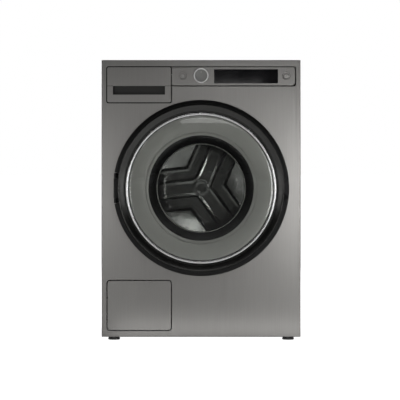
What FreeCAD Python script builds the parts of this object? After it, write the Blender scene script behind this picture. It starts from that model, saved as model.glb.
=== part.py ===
"""Front load washing machine, built as an assembly of separate pieces (FreeCAD 1.1 macro, millimetres).

Frame: +X is to the right seen from the front, +Y runs into the machine and +Z is up. The origin is on the
floor, in the middle of the machine's overall box. The door, the drum and the tub share one axis along Y.
"""
import FreeCAD, Part
import math
import os
import Sketcher

V = FreeCAD.Vector
doc = FreeCAD.newDocument("washing_machine")

# ---------------------------------------------------------------- driving dimensions
DIMENSIONS = [
    ("width", 600, "cabinet width"),
    ("height", 845, "floor to worktop"),
    ("front_y", -266.5, "front face of the cabinet"),
    ("rear_y", 298.5, "rear face of the cabinet"),
    ("foot_gap", 10.4, "floor to the cabinet's lower edge"),
    ("sheet", 1.2, "sheet metal thickness"),
    ("edge_round", 3, "rounding of the folded sheet edges"),
    ("fold_depth", 14, "depth of the front panel's folded edges"),
    ("lid_height", 20, "height of the top cover"),
    ("seam", 3, "open gap round the panel, the drawer and the hatch"),
    ("panel_half", 284.4, "middle of the panel's side gaps, from the centre"),
    ("panel_top", 824.6, "middle of the gap above the panel"),
    ("panel_bottom", 766.8, "middle of the gap below the panel"),
    ("drawer_right", -89.1, "middle of the gap between drawer and panel"),
    ("drawer_bottom", 715.8, "middle of the gap below the drawer"),
    ("drawer_travel", 250, "how far the drawer pulls out"),
    ("hatch_left", -283.4, "middle of the hatch's left gap"),
    ("hatch_right", -89.4, "middle of the hatch's right gap"),
    ("hatch_bottom", 29.8, "middle of the hatch's lower gap"),
    ("hatch_top", 180.8, "middle of the hatch's upper gap"),
    ("control_z", 797.6, "height of the knob and the buttons"),
    ("knob_radius", 22.5, "outside of the knob's chrome ring"),
    ("button_radius", 12.4, "power and start buttons"),
    ("power_x", -55.4, "power button"),
    ("start_x", 257.1, "start button"),
    ("axis_z", 459, "height of the drum and door axis"),
    ("door_radius", 249.5, "outside of the door's rim"),
    ("door_depth", 44, "how far the door stands proud"),
    ("surround_radius", 265.3, "outside of the fixed ring round the door"),
    ("glass_radius", 217.3, "outer door glass"),
    ("porthole_radius", 172, "opening in the front panel"),
    ("hinge_x", -257, "door hinge axis"),
    ("hinge_ahead", 14, "door hinge axis ahead of the front panel"),
    ("tub_radius", 256, "outside of the tub"),
    ("tub_wall", 4, "tub wall"),
    ("tub_front_y", -206, "front wall of the tub"),
    ("tub_split_y", -20, "joint between the two tub halves"),
    ("tub_rear_y", 200, "rear wall of the tub"),
    ("drum_radius", 239.2, "outside of the drum"),
    ("drum_front_y", -190, "front wall of the drum"),
    ("drum_rear_y", 150, "rear wall of the drum"),
    ("shaft_radius", 12.5, "drum shaft"),
    ("bearing_radius", 26, "outside of the drum bearings"),
    ("running_gap", 0.05, "radial clearance of shafts and pins"),
    ("pulley_radius", 145, "drum pulley"),
    ("motor_pulley_radius", 11, "motor pulley"),
    ("motor_z", 135, "height of the motor shaft"),
    ("motor_radius", 60, "motor body"),
    ("belt_gap", 0.3, "clearance between belt and pulleys"),
    ("strut_x", 175, "dampers, left and right of the centre"),
    ("strut_front_y", -90, "front dampers"),
    ("strut_rear_y", 110, "rear dampers"),
    ("lug_z", 236, "underside of the tub's damper lugs"),
    ("tray_top", 50, "upper edge of the base tray"),
    ("pump_x", -187, "drain pump and filter"),
    ("pump_z", 100, "drain pump and filter"),
    ("foot_radius", 18, "foot pad"),
    ("foot_x", 263.5, "feet, left and right of the centre"),
    ("foot_inset", 40, "feet, in from the front and rear faces"),
    ("thread_radius", 5, "foot spindle"),
    ("inlet_radius", 13.2, "three-quarter inch inlet thread"),
    ("fitting_length", 12, "how far the rear fittings stand out"),
]

sheet = doc.addObject("Spreadsheet::Sheet", "dims")
for row, (alias, value, note) in enumerate(DIMENSIONS, start=1):
    sheet.set("A%d" % row, str(value))
    sheet.setAlias("A%d" % row, alias)
    sheet.set("B%d" % row, note)
doc.recompute()


class Length:
    """A length that carries both its number and the spreadsheet expression that gives it."""

    def __init__(self, value, text):
        self.value = value
        self.text = text

    def __add__(self, other):
        other = length(other)
        return Length(self.value + other.value, "(%s + %s)" % (self.text, other.text))

    def __sub__(self, other):
        other = length(other)
        return Length(self.value - other.value, "(%s - %s)" % (self.text, other.text))

    def __rsub__(self, other):
        return length(other) - self

    def __mul__(self, factor):
        return Length(self.value * factor, "(%s * %r)" % (self.text, factor))

    def __truediv__(self, divisor):
        return Length(self.value / divisor, "(%s / %r)" % (self.text, divisor))

    def __neg__(self):
        return Length(-self.value, "(0 - %s)" % self.text)

    __radd__ = __add__
    __rmul__ = __mul__


def length(item):
    """Turn a plain number into a Length; leave a Length as it is."""
    return item if isinstance(item, Length) else Length(float(item), "(%r)" % float(item))


dim = {alias: Length(float(value), "dims." + alias) for alias, value, note in DIMENSIONS}
FRONT = dim["front_y"]
REAR = dim["rear_y"]
AXIS_Z = dim["axis_z"]
HALF = dim["width"] / 2
SHEET = dim["sheet"]
SEAM = dim["seam"]
PLAY = dim["running_gap"]
TURN = {"Y": FreeCAD.Rotation(V(1, 0, 0), -90), "Z": FreeCAD.Rotation()}

# rear fittings as (x, z, hole radius): water inlet, drain outlet, mains gland
REAR_FITTINGS = [(-190, 772, 17), (120, 742, 14), (200, 772, 14.2)]
SCREW_SPOTS = [(side * 280, level) for side in (-1, 1) for level in (60, 250, 440, 630, 800)]
SCREW_SPOTS += [(offset, 800) for offset in (-100, 0)]
TRANSIT_X = (-150, 150)
TRANSIT_Z = (320, 600)

# the display's window and the two hose stubs of the tub
WINDOW_X = (38.9, 231.7)
WINDOW_Z = (774.3, 816.8)
FILL_X, FILL_Y = -190, -150
SUMP_Y = -185
HOSE_RADIUS, HOSE_BORE = 16, 13

# the drawer, from its housing's walls
HOUSING_X = (-282, -98)
HOUSING_Z = (722, 822)
HOUSING_WALL = 3
HOUSING_DEPTH = 330
DRAWER_X = (-277, -103)
DRAWER_WALL = 2.5
GRIP_X = (-265.6, -108.7)

# the heater's bend, the arms of drum and spider, and the hatch's hinge
HEATER_BEND = 24
HEATER_TUBE = 3.3
HEATER_Z = AXIS_Z - 244.4
ARM_ANGLES = (66, 186, 306)
HATCH_AXIS_X = dim["hatch_left"] + 16
HATCH_AXIS_Y = FRONT + 6.5
HATCH_BOSSES = (58, 79, 124, 145)


# ---------------------------------------------------------------- helpers
def bind(item, prop, size):
    """Give a property its size, tied to the spreadsheet."""
    item.setExpression(prop, length(size).text)


def place(item, x=0, y=0, z=0, rotation=None):
    """Put an object at a point, tied to the spreadsheet."""
    item.Placement = FreeCAD.Placement(V(0, 0, 0), rotation or FreeCAD.Rotation())
    for axis, size in (("x", x), ("y", y), ("z", z)):
        bind(item, "Placement.Base." + axis, size)
    return item


def box(name, xs, ys, zs):
    """A plain block between two corners."""
    item = doc.addObject("Part::Box", name)
    for prop, (low, high) in (("Length", xs), ("Width", ys), ("Height", zs)):
        bind(item, prop, length(high) - low)
    return place(item, xs[0], ys[0], zs[0])


def cylinder(name, axis, x, y, z, radius, span):
    """A cylinder from a point along one axis."""
    item = doc.addObject("Part::Cylinder", name)
    bind(item, "Radius", radius)
    bind(item, "Height", span)
    return place(item, x, y, z, TURN[axis])


def fuse(name, *items):
    """Join pieces into one solid."""
    item = doc.addObject("Part::MultiFuse", name)
    item.Shapes = list(items)
    return item


def cut(name, base, *tools):
    """Take the tools away from the base."""
    item = doc.addObject("Part::Cut", name)
    item.Base = base
    item.Tool = tools[0] if len(tools) == 1 else fuse(name + "_tools", *tools)
    return item


def group(name, *items):
    """Separate solids that share one node."""
    item = doc.addObject("Part::Compound", name)
    item.Links = list(items)
    return item


def new_sketch(body, name, role):
    """A sketch on one of the body's own origin planes."""
    sketch = body.newObject("Sketcher::SketchObject", name)
    plane = [feature for feature in body.Origin.OriginFeatures if feature.Role == role][0]
    sketch.AttachmentSupport = [(plane, "")]
    sketch.MapMode = "FlatFace"
    return sketch


def polygon(sketch, points):
    """A closed outline whose corners are tied to the spreadsheet."""
    points = [(length(u), length(v)) for u, v in points]
    first = sketch.GeometryCount
    count = len(points)
    for index in range(count):
        start, end = points[index], points[(index + 1) % count]
        sketch.addGeometry(Part.LineSegment(V(start[0].value, start[1].value, 0),
                                            V(end[0].value, end[1].value, 0)))
    for index in range(count):
        following = first + (index + 1) % count
        sketch.addConstraint(Sketcher.Constraint("Coincident", first + index, 2, following, 1))
    for index, corner in enumerate(points):
        for kind, size in zip(("DistanceX", "DistanceY"), corner):
            number = sketch.addConstraint(Sketcher.Constraint(kind, -1, 1, first + index, 1, size.value))
            sketch.setExpression("Constraints[%d]" % number, size.text)


def belt_outline(sketch, big, small, distance):
    """Two pulley arcs joined by tangent runs; the big pulley is at the sketch's origin."""
    lean = math.asin((big.value - small.value) / distance.value)
    reach, drop = math.cos(lean), math.sin(lean)
    corners = [V(side * radius * reach, centre - radius * drop, 0)
               for side, radius, centre in ((-1, small.value, -distance.value),
                                            (1, small.value, -distance.value), (1, big.value, 0),
                                            (-1, big.value, 0))]
    foot = V(0, -distance.value - small.value, 0)
    crown = V(0, big.value, 0)
    first = sketch.GeometryCount
    sketch.addGeometry(Part.Arc(corners[0], foot, corners[1]))
    sketch.addGeometry(Part.LineSegment(corners[1], corners[2]))
    sketch.addGeometry(Part.Arc(corners[2], crown, corners[3]))
    sketch.addGeometry(Part.LineSegment(corners[3], corners[0]))
    for start in range(4):
        sketch.addConstraint(Sketcher.Constraint("Tangent", first + start, 2, first + (start + 1) % 4, 1))
    sketch.addConstraint(Sketcher.Constraint("Coincident", first + 2, 3, -1, 1))
    sketch.addConstraint(Sketcher.Constraint("PointOnObject", first, 3, -2))
    for kind, arguments, size in (("DistanceY", (first, 3, -1, 1), distance),
                                  ("Radius", (first,), small), ("Radius", (first + 2,), big)):
        number = sketch.addConstraint(Sketcher.Constraint(kind, *arguments, size.value))
        sketch.setExpression("Constraints[%d]" % number, size.text)


def turned(name, profile, x=0, z=AXIS_Z):
    """A piece turned about an axis along Y; the profile is a list of (radius, y)."""
    body = doc.addObject("PartDesign::Body", name)
    sketch = new_sketch(body, name + "_profile", "XY_Plane")
    polygon(sketch, profile)
    revolution = body.newObject("PartDesign::Revolution", name + "_revolution")
    revolution.Profile = sketch
    revolution.ReferenceAxis = (sketch, ["V_Axis"])
    revolution.Angle = 360
    return place(body, x, 0, z)


def extruded(name, outline, axis, low, high, rotation=None):
    """A flat outline given depth along one axis: (x, z) along Y, or (x, y) along Z."""
    body = doc.addObject("PartDesign::Body", name)
    sketch = new_sketch(body, name + "_outline", {"Y": "XZ_Plane", "Z": "XY_Plane"}[axis])
    polygon(sketch, outline)
    pad = body.newObject("PartDesign::Pad", name + "_pad")
    pad.Profile = sketch
    pad.Reversed = axis == "Y"
    bind(pad, "Length", length(high) - low)
    spot = {"y": low} if axis == "Y" else {"z": low}
    return place(body, rotation=rotation, **spot)


def rectangle(xs, zs):
    """The four corners of an upright rectangle."""
    return [(xs[0], zs[0]), (xs[1], zs[0]), (xs[1], zs[1]), (xs[0], zs[1])]


def round_edges(body, name, radius, wanted):
    """Round the edges of the body's tip that the test picks."""
    doc.recompute()
    base = body.Tip
    edges = ["Edge%d" % (number + 1) for number, edge in enumerate(base.Shape.Edges) if wanted(edge)]
    if not edges:
        raise RuntimeError("no edge to round on " + name)
    fillet = body.newObject("PartDesign::Fillet", name)
    fillet.Base = (base, edges)
    bind(fillet, "Radius", radius)
    return body


def edge_along(axis):
    """Test for a straight edge along one axis."""
    number = "XYZ".index(axis)

    def wanted(edge):
        run = edge.Vertexes[-1].Point - edge.Vertexes[0].Point
        return run.Length > 0 and abs(abs(run[number]) - edge.Length) < 1e-6
    return wanted


def rounded_block(name, xs, ys, zs, radius):
    """A block whose four edges along Y are rounded."""
    return round_edges(extruded(name, rectangle(xs, zs), "Y", *ys), name + "_corners", radius,
                       edge_along("Y"))


def hollow(body, name, outline, depth, from_y):
    """Pocket a Y-extruded body from its rear, from a plane at from_y in the body, towards the front."""
    doc.recompute()
    before = body.Tip.Shape.Volume
    sketch = new_sketch(body, name + "_outline", "XZ_Plane")
    bind(sketch, "AttachmentOffset.Base.z", -length(from_y))
    polygon(sketch, outline)
    pocket = body.newObject("PartDesign::Pocket", name)
    pocket.Profile = sketch
    pocket.Reversed = True
    bind(pocket, "Length", depth)
    doc.recompute()
    if pocket.Shape.Volume > before - 1:
        raise RuntimeError("pocket cuts nothing: " + name)
    return body


def spoke(name, angle, inner, outer, ys, thickness):
    """A bar that points outwards from the drum axis at an angle in the XZ plane."""
    item = doc.addObject("Part::Box", name)
    for prop, size in (("Length", length(outer) - inner), ("Width", length(ys[1]) - ys[0]),
                       ("Height", thickness)):
        bind(item, prop, size)
    along, across = math.cos(math.radians(angle)), math.sin(math.radians(angle))
    inner, half = length(inner), length(thickness) / 2
    return place(item, inner * along + half * across, ys[0], AXIS_Z + inner * across - half * along,
                 FreeCAD.Rotation(V(0, 1, 0), -angle))


nodes = []


def node(item, name):
    """Name a finished piece and keep it for the hand-over."""
    item.Label = name
    nodes.append(item)
    return item


# ---------------------------------------------------------------- cabinet
def front_panel():
    """Pressed steel front: folded edges, porthole with a rolled rim, and three cut-outs."""
    depth = dim["fold_depth"]
    shell = extruded("front_shell", rectangle((-HALF, HALF), (dim["foot_gap"], dim["height"])), "Y",
                     FRONT, FRONT + depth)
    round_edges(shell, "front_folds", dim["edge_round"],
                lambda edge: abs(edge.CenterOfMass.y) < 1e-6)
    inner = rectangle((SHEET - HALF, HALF - SHEET), (dim["foot_gap"] + SHEET, dim["height"] - SHEET))
    hollow(shell, "front_inside", inner, depth - SHEET, depth)
    rim = turned("porthole_rim", [(dim["porthole_radius"] - SHEET, FRONT), (dim["porthole_radius"], FRONT),
                                  (dim["porthole_radius"], FRONT + depth),
                                  (dim["porthole_radius"] - SHEET, FRONT + depth)])
    half_seam = SEAM / 2
    through = (FRONT - 5, FRONT + 5)
    panel_hole = rounded_block("panel_hole", (-dim["panel_half"] - half_seam,
                                              dim["panel_half"] + half_seam), through,
                               (dim["panel_bottom"] - half_seam, dim["panel_top"] + half_seam), 7)
    drawer_hole = rounded_block("drawer_hole", (-dim["panel_half"] - half_seam,
                                                dim["drawer_right"] + half_seam), through,
                                (dim["drawer_bottom"] - half_seam, dim["panel_top"] + half_seam), 7)
    hatch_hole = rounded_block("hatch_hole", (dim["hatch_left"] - half_seam,
                                              dim["hatch_right"] + half_seam), through,
                               (dim["hatch_bottom"] - half_seam, dim["hatch_top"] + half_seam), 11)
    porthole = cylinder("porthole", "Y", 0, FRONT - 5, AXIS_Z, dim["porthole_radius"] - SHEET, 10)
    latch_slot = box("latch_slot", (203, 228), through, (AXIS_Z - 9, AXIS_Z + 9))
    pressed = cut("front_pressed", shell, panel_hole, drawer_hole, hatch_hole, porthole, latch_slot)
    return fuse("front_panel_solid", pressed, rim)


def side_panel(name, side):
    """A steel side with its front and rear edges folded inwards; side is -1 on the left, 1 on the right."""
    outside, inside, lip = HALF * side, (HALF - 1) * side, (HALF - 8) * side
    front, rear = FRONT + dim["fold_depth"] + 0.2, REAR
    outline = [(outside, front), (outside, rear), (inside, rear), (inside, rear - 1.2), (lip, rear - 1.2),
               (lip, rear - 2.2), (inside, rear - 2.2), (inside, front + 1), (lip, front + 1), (lip, front)]
    return extruded(name + "_folded", outline, "Z", dim["foot_gap"], dim["height"] - dim["lid_height"] - 0.6)


def top_cover():
    """Steel worktop, a shallow pan with rounded upper edges."""
    low, high = dim["height"] - dim["lid_height"], dim["height"]
    front = FRONT + dim["fold_depth"] + 0.8
    pan = extruded("lid_pan", rectangle((-HALF, HALF), (low, high)), "Y", front, REAR)
    top = dim["height"].value
    round_edges(pan, "lid_edges", dim["edge_round"], lambda edge: edge.CenterOfMass.z > top - 1e-6)
    inside = box("lid_inside", (SHEET - HALF, HALF - SHEET), (front + SHEET, REAR - SHEET),
                 (low - 1, high - SHEET))
    return cut("lid_solid", pan, inside)


def rear_panel():
    """Sheet steel back with a raised ring pressing, holes for the fittings and the screws, and vents."""
    plate = box("rear_plate", (1.1 - HALF, HALF - 1.1), (REAR - 1.1, REAR), (dim["foot_gap"], 824))
    ring = turned("rear_ring", [(176, REAR - 0.5), (180, REAR + 2), (190, REAR + 2), (194, REAR - 0.5)])
    holes = [cylinder("fitting_hole", "Y", x, REAR - 5, z, radius, 10) for x, z, radius in REAR_FITTINGS]
    holes += [cylinder("screw_hole", "Y", x, REAR - 5, z, 2.05, 10) for x, z in SCREW_SPOTS]
    holes += [cylinder("transit_hole", "Y", x, REAR - 5, z, 12, 10) for x in TRANSIT_X for z in TRANSIT_Z]
    holes += [box("vent", (-60, 60), (REAR - 5, REAR + 5), (level, level + 4))
              for level in (100, 112, 124, 136)]
    return cut("rear_panel_solid", fuse("rear_sheet", plate, ring), *holes)


def rear_screws():
    """Domed screws round the edge of the rear panel."""
    screws = []
    for x, z in SCREW_SPOTS:
        profile = [(0, REAR - 1.1), (2, REAR - 1.1), (2, REAR), (4.5, REAR), (4.2, REAR + 1.6),
                   (2.4, REAR + 2.6), (0, REAR + 2.8)]
        screws.append(turned("rear_screw", profile, x, z))
    return group("rear_screw_set", *screws)


def corner_spots():
    """The four places of the feet."""
    for x in (-dim["foot_x"], dim["foot_x"]):
        for y in (FRONT + dim["foot_inset"], REAR - dim["foot_inset"]):
            yield x, y


def strut_spots():
    """The four places of the dampers and springs."""
    for x in (-dim["strut_x"], dim["strut_x"]):
        for y in (dim["strut_front_y"], dim["strut_rear_y"]):
            yield x, y


def base_tray():
    """Moulded tray that carries the feet, the dampers and the pump."""
    low, floor, top = dim["foot_gap"], dim["foot_gap"] + 6, dim["tray_top"]
    front, rear = FRONT + dim["fold_depth"] + 10, REAR - 2.4
    outer = box("tray_outer", (1 - HALF, HALF - 1), (front, rear), (low, top))
    inner = box("tray_inner", (5 - HALF, HALF - 5), (front + 4, rear - 4), (floor, top + 5))
    pieces = [cut("tray_pan", outer, inner)]
    pieces += [cylinder("foot_boss", "Z", x, y, floor - 1, 15, top - floor + 1) for x, y in corner_spots()]
    pieces += [cylinder("strut_boss", "Z", x, y, floor - 1, 30, top - floor + 1) for x, y in strut_spots()]
    pieces += [box("tray_rib", (4 - HALF, HALF - 4), (y - 2, y + 2), (floor - 1, floor + 16))
               for y in (-40, 50, 180)]
    bores = [cylinder("foot_bore", "Z", x, y, low - 5, dim["thread_radius"] + PLAY, 60)
             for x, y in corner_spots()]
    return cut("tray_solid", fuse("tray_bosses", *pieces), *bores)


def foot(name, x, y):
    """Adjustable foot: a rubber-faced pad on a threaded spindle."""
    pad = cylinder(name + "_pad", "Z", x, y, 0, dim["foot_radius"], dim["foot_gap"] - 0.4)
    spindle = cylinder(name + "_spindle", "Z", x, y, 1, dim["thread_radius"], 47)
    return fuse(name + "_solid", pad, spindle)


# ---------------------------------------------------------------- controls and detergent drawer
def control_panel():
    """Steel-faced panel with bosses for the knob and the buttons and a window for the display."""
    edge = SEAM / 2
    xs = (dim["drawer_right"] + edge, dim["panel_half"] - edge)
    zs = (dim["panel_bottom"] + edge, dim["panel_top"] - edge)
    wall = 2.5
    body = extruded("panel_body", rectangle(xs, zs), "Y", FRONT, FRONT + 20)
    right, middle = dim["panel_half"].value - 10, dim["control_z"].value
    straight = edge_along("Y")
    round_edges(body, "panel_low_corner", 11,
                lambda edge: straight(edge) and edge.CenterOfMass.x > right and edge.CenterOfMass.z < middle)
    round_edges(body, "panel_high_corner", 5.5,
                lambda edge: straight(edge) and edge.CenterOfMass.x > right and edge.CenterOfMass.z > middle)
    hollow(body, "panel_inside", rectangle((xs[0] + wall, xs[1] - 5), (zs[0] + wall, zs[1] - wall)), 17.5, 20)
    z = dim["control_z"]
    bosses = [cylinder("knob_boss", "Y", 0, FRONT + 1, z, 9, 17)]
    cuts = [cylinder("knob_bore", "Y", 0, FRONT - 5, z, 3 + PLAY, 40)]
    for x in (dim["power_x"], dim["start_x"]):
        bosses.append(cylinder("button_boss", "Y", x, FRONT + 1, z, dim["button_radius"] + 3, 9))
        cuts.append(cylinder("button_well", "Y", x, FRONT - 5, z, dim["button_radius"] + 0.5, 11.5))
        cuts.append(cylinder("button_bore", "Y", x, FRONT - 5, z, 3 + PLAY, 40))
    window = box("display_window", WINDOW_X, (FRONT - 5, FRONT + 5), WINDOW_Z)
    return cut("panel_solid", fuse("panel_bosses", body, *bosses), window, *cuts)


def display_glass():
    """Dark glass over the display."""
    gap = 0.3
    xs, zs = [(low + gap, high - gap) for low, high in (WINDOW_X, WINDOW_Z)]
    return rounded_block("display_pane", xs, (FRONT + 0.2, FRONT + 2.6), zs, 1.2)


def electronics_box():
    """Sealed box of the control electronics."""
    shell = rounded_block("electronics_shell", (110, 285), (100, 280), (762, 820), 5)
    board = [box("electronics_rib", (x, x + 3), (95, 101), (772, 810)) for x in (130, 170, 210, 250)]
    return fuse("electronics_solid", shell, *board)


def program_knob():
    """Turning knob with a dished face, a pointer groove and its spindle."""
    profile = [(0, FRONT - 11.6), (16, FRONT - 12.2), (19, FRONT - 12.2), (19, FRONT - 9), (22, FRONT - 9),
               (22, FRONT - 0.6), (3, FRONT - 0.6), (3, FRONT + 19), (0, FRONT + 19)]
    body = turned("knob_body", profile, 0, dim["control_z"])
    pointer = box("pointer", (-0.8, 0.8), (FRONT - 13, FRONT - 11.3),
                  (dim["control_z"] + 8, dim["control_z"] + 15))
    return cut("knob_solid", body, pointer)


def knob_ring():
    """Bright ring pressed onto the knob's shoulder."""
    outer = dim["knob_radius"]
    return turned("knob_ring_body", [(19.2, FRONT - 9), (19.2, FRONT - 13), (20.2, FRONT - 14),
                                     (outer - 1, FRONT - 14), (outer, FRONT - 13), (outer, FRONT - 9)], 0,
                  dim["control_z"])


def push_button(name, x):
    """Dished push button with its guide stem."""
    radius = dim["button_radius"]
    return turned(name + "_body", [(0, FRONT - 0.3), (radius - 4, FRONT - 0.6), (radius - 1, FRONT - 1.2),
                                   (radius, FRONT - 0.6), (radius, FRONT + 3), (3, FRONT + 3),
                                   (3, FRONT + 14), (0, FRONT + 14)], x, dim["control_z"])


def dispenser_housing():
    """Moulded housing that the detergent drawer slides in, with its outlet to the tub."""
    depth = FRONT + HOUSING_DEPTH
    cavity_x, cavity_z = [(low + HOUSING_WALL, high - HOUSING_WALL) for low, high in (HOUSING_X, HOUSING_Z)]
    shell = box("housing_shell", HOUSING_X, (FRONT + 6, depth), HOUSING_Z)
    flange = box("housing_flange", (-292, -89.6), (FRONT + 5.8, FRONT + 8.4), (712, 828))
    outlet = cylinder("housing_outlet", "Z", FILL_X, FILL_Y, 708, HOSE_RADIUS, 16)
    cavity = box("housing_cavity", cavity_x, (FRONT - 5, depth - HOUSING_WALL), cavity_z)
    drain = cylinder("housing_drain", "Z", FILL_X, FILL_Y, 700, HOSE_BORE, 30)
    return cut("housing_solid", fuse("housing_outside", shell, flange, outlet), cavity, drain)


def drawer_tray():
    """Open tray with a long wash compartment and two short ones."""
    ys, zs = (FRONT + 27, FRONT + 300), (727, 812)
    wall, divider, half_way = DRAWER_WALL, -200, FRONT + 150
    outer = box("tray_shell", DRAWER_X, ys, zs)
    inner_y = (ys[0] + wall, ys[1] - wall)
    left, right = (DRAWER_X[0] + wall, divider), (divider + wall, DRAWER_X[1] - wall)
    high = (zs[0] + wall, zs[1] + 18)
    wash = box("wash_room", left, inner_y, high)
    prewash = box("prewash_room", right, (inner_y[0], half_way), high)
    softener = box("softener_room", right, (half_way + wall, inner_y[1]), high)
    return cut("drawer_tray_solid", outer, wash, prewash, softener)


def drawer_front():
    """Drawer front with the handle recess and a fine line level with the panel's lower edge."""
    edge = SEAM / 2
    xs = (edge - dim["panel_half"], dim["drawer_right"] - edge)
    zs = (dim["drawer_bottom"] + edge, dim["panel_top"] - edge)
    plate = rounded_block("drawer_plate", xs, (FRONT, FRONT + 5), zs, 5)
    grip = box("grip_box", (-269, -105.5), (FRONT + 4, FRONT + 27), (737, 781))
    recess = box("grip_recess", GRIP_X, (FRONT - 5, FRONT + 24.5), (740.5, dim["panel_bottom"]))
    finger_room = box("finger_room", GRIP_X, (FRONT + 5, FRONT + 24.5), (745, 778))
    lines = [box("drawer_line", line, (FRONT - 5, FRONT + 0.8), (dim["panel_bottom"] - 0.6,
                                                                 dim["panel_bottom"] + 0.6))
             for line in ((-290, -265), (-109, -85))]
    return cut("drawer_front_solid", fuse("drawer_front_block", plate, grip), recess, finger_room, *lines)


def inlet_valve():
    """Water valve with its thread through the rear panel and its pipe to the drawer housing."""
    x, z = REAR_FITTINGS[0][:2]
    valve = rounded_block("valve_block", (x - 22, x + 22), (REAR - 45, REAR - 1.2), (z - 20, z + 20), 5)
    thread = cylinder("valve_thread", "Y", x, REAR - 6, z, dim["inlet_radius"], dim["fitting_length"] + 6)
    pipe = cylinder("valve_pipe", "Y", x, FRONT + HOUSING_DEPTH, z, 8, REAR - FRONT - HOUSING_DEPTH - 44)
    bore = cylinder("valve_bore", "Y", x, REAR - 10, z, 9.5, 40)
    coil = cylinder("valve_coil", "Z", x, REAR - 24, z + 18, 13, 22)
    return cut("valve_solid", fuse("valve_outside", valve, thread, pipe, coil), bore)


def drain_outlet():
    """Spigot that the drain hose is pushed onto."""
    x, z = REAR_FITTINGS[1][:2]
    return turned("outlet_body", [(8, REAR - 22), (10, REAR - 22), (10, REAR - 3.2), (18, REAR - 3.2),
                                  (18, REAR - 1.2), (10, REAR - 1.2), (10, REAR + dim["fitting_length"]),
                                  (8, REAR + dim["fitting_length"])], x, z)


def mains_inlet():
    """Cable gland of the mains lead."""
    x, z = REAR_FITTINGS[2][:2]
    return turned("gland_body", [(5, REAR - 14), (14, REAR - 14), (14, REAR), (19, REAR), (19, REAR + 3),
                                 (12, REAR + 6), (9, REAR + 11), (5, REAR + 11)], x, z)


# ---------------------------------------------------------------- door
def door_surround():
    """Fixed dark ring round the door, open at the hinge and scooped out at the finger grip."""
    outer = dim["surround_radius"]
    ring = turned("surround_ring", [(251, FRONT), (251, FRONT - 13), (253, FRONT - 15.4), (256, FRONT - 16),
                                    (260, FRONT - 13.5), (263.5, FRONT - 8), (outer, FRONT - 2),
                                    (outer, FRONT)])
    hinge_gap = box("hinge_gap", (-275, -240), (FRONT - 20, FRONT + 1), (AXIS_Z - 46, AXIS_Z + 46))
    finger_scoop = cylinder("finger_scoop", "Y", 280, FRONT - 20, AXIS_Z, 46, 16)
    return cut("surround_solid", ring, hinge_gap, finger_scoop)


def door_rim():
    """Outer rim of the door, a hollow moulding whose face falls inwards to the glass."""
    crest, outer = FRONT - dim["door_depth"], dim["door_radius"]
    ring = turned("rim_ring", [(228, FRONT - 2.5), (228, FRONT - 31), (229.5, FRONT - 33), (237, crest + 6),
                               (244, crest + 1.2), (247, crest), (248.6, crest + 0.6), (outer, crest + 2.5),
                               (outer, FRONT - 4.5), (248, FRONT - 2.5), (246.5, FRONT - 2.5),
                               (246.5, crest + 4), (243, crest + 5), (237, crest + 10), (231, FRONT - 28),
                               (231, FRONT - 2.5)])
    leaf_way = box("leaf_way", (-252, -226), (FRONT - 20.1, FRONT - 7.9), (AXIS_Z - 29.6, AXIS_Z + 29.6))
    return cut("rim_solid", ring, leaf_way)


def door_chrome_ring():
    """Bright ring between the rim and the glass."""
    inner, outer = dim["glass_radius"] + 0.3, 227.7
    return turned("chrome_ring", [(inner, FRONT - 28), (inner, FRONT - 34), (219.5, FRONT - 35.6),
                                  (222.6, FRONT - 36.2), (225.6, FRONT - 35.6), (outer, FRONT - 33.6),
                                  (outer, FRONT - 28)])


def door_glass():
    """Slightly domed outer pane with a ground edge."""
    radius = dim["glass_radius"]
    return turned("glass_pane", [(0, FRONT - 37), (60, FRONT - 36.75), (120, FRONT - 36),
                                 (175, FRONT - 34.9), (radius - 1.5, FRONT - 33.6), (radius, FRONT - 32.6),
                                 (radius, FRONT - 29.9), (175, FRONT - 31), (120, FRONT - 32.1),
                                 (60, FRONT - 32.85), (0, FRONT - 33.1)])


def door_trim_plate():
    """Satin cone behind the pane."""
    return turned("trim_cone", [(158.2, FRONT - 24), (217, FRONT - 29.4), (217, FRONT - 28.2),
                                (158.2, FRONT - 22.8)])


def door_mask_ring():
    """Dark ring that leads from the trim plate down to the bowl."""
    return turned("mask_cone", [(134, FRONT - 16), (157.8, FRONT - 26.4), (157.8, FRONT - 22),
                                (148, FRONT - 17.5), (144.5, FRONT - 14.2), (134, FRONT - 14.2)])


def door_bowl():
    """Moulded glass bowl that closes the drum's mouth."""
    return turned("bowl", [(165, FRONT - 14), (165, FRONT - 8), (150, FRONT - 8), (148, FRONT),
                           (145.8, FRONT + 14), (140, FRONT + 40), (136, FRONT + 51), (129, FRONT + 60),
                           (116, FRONT + 66.5), (90, FRONT + 70), (50, FRONT + 72), (0, FRONT + 72.6),
                           (0, FRONT + 67.6), (50, FRONT + 67), (88, FRONT + 65), (112, FRONT + 61.5),
                           (124, FRONT + 56), (131, FRONT + 48), (134.8, FRONT + 38), (140.6, FRONT + 12),
                           (142.8, FRONT - 2), (144, FRONT - 14)])


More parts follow.
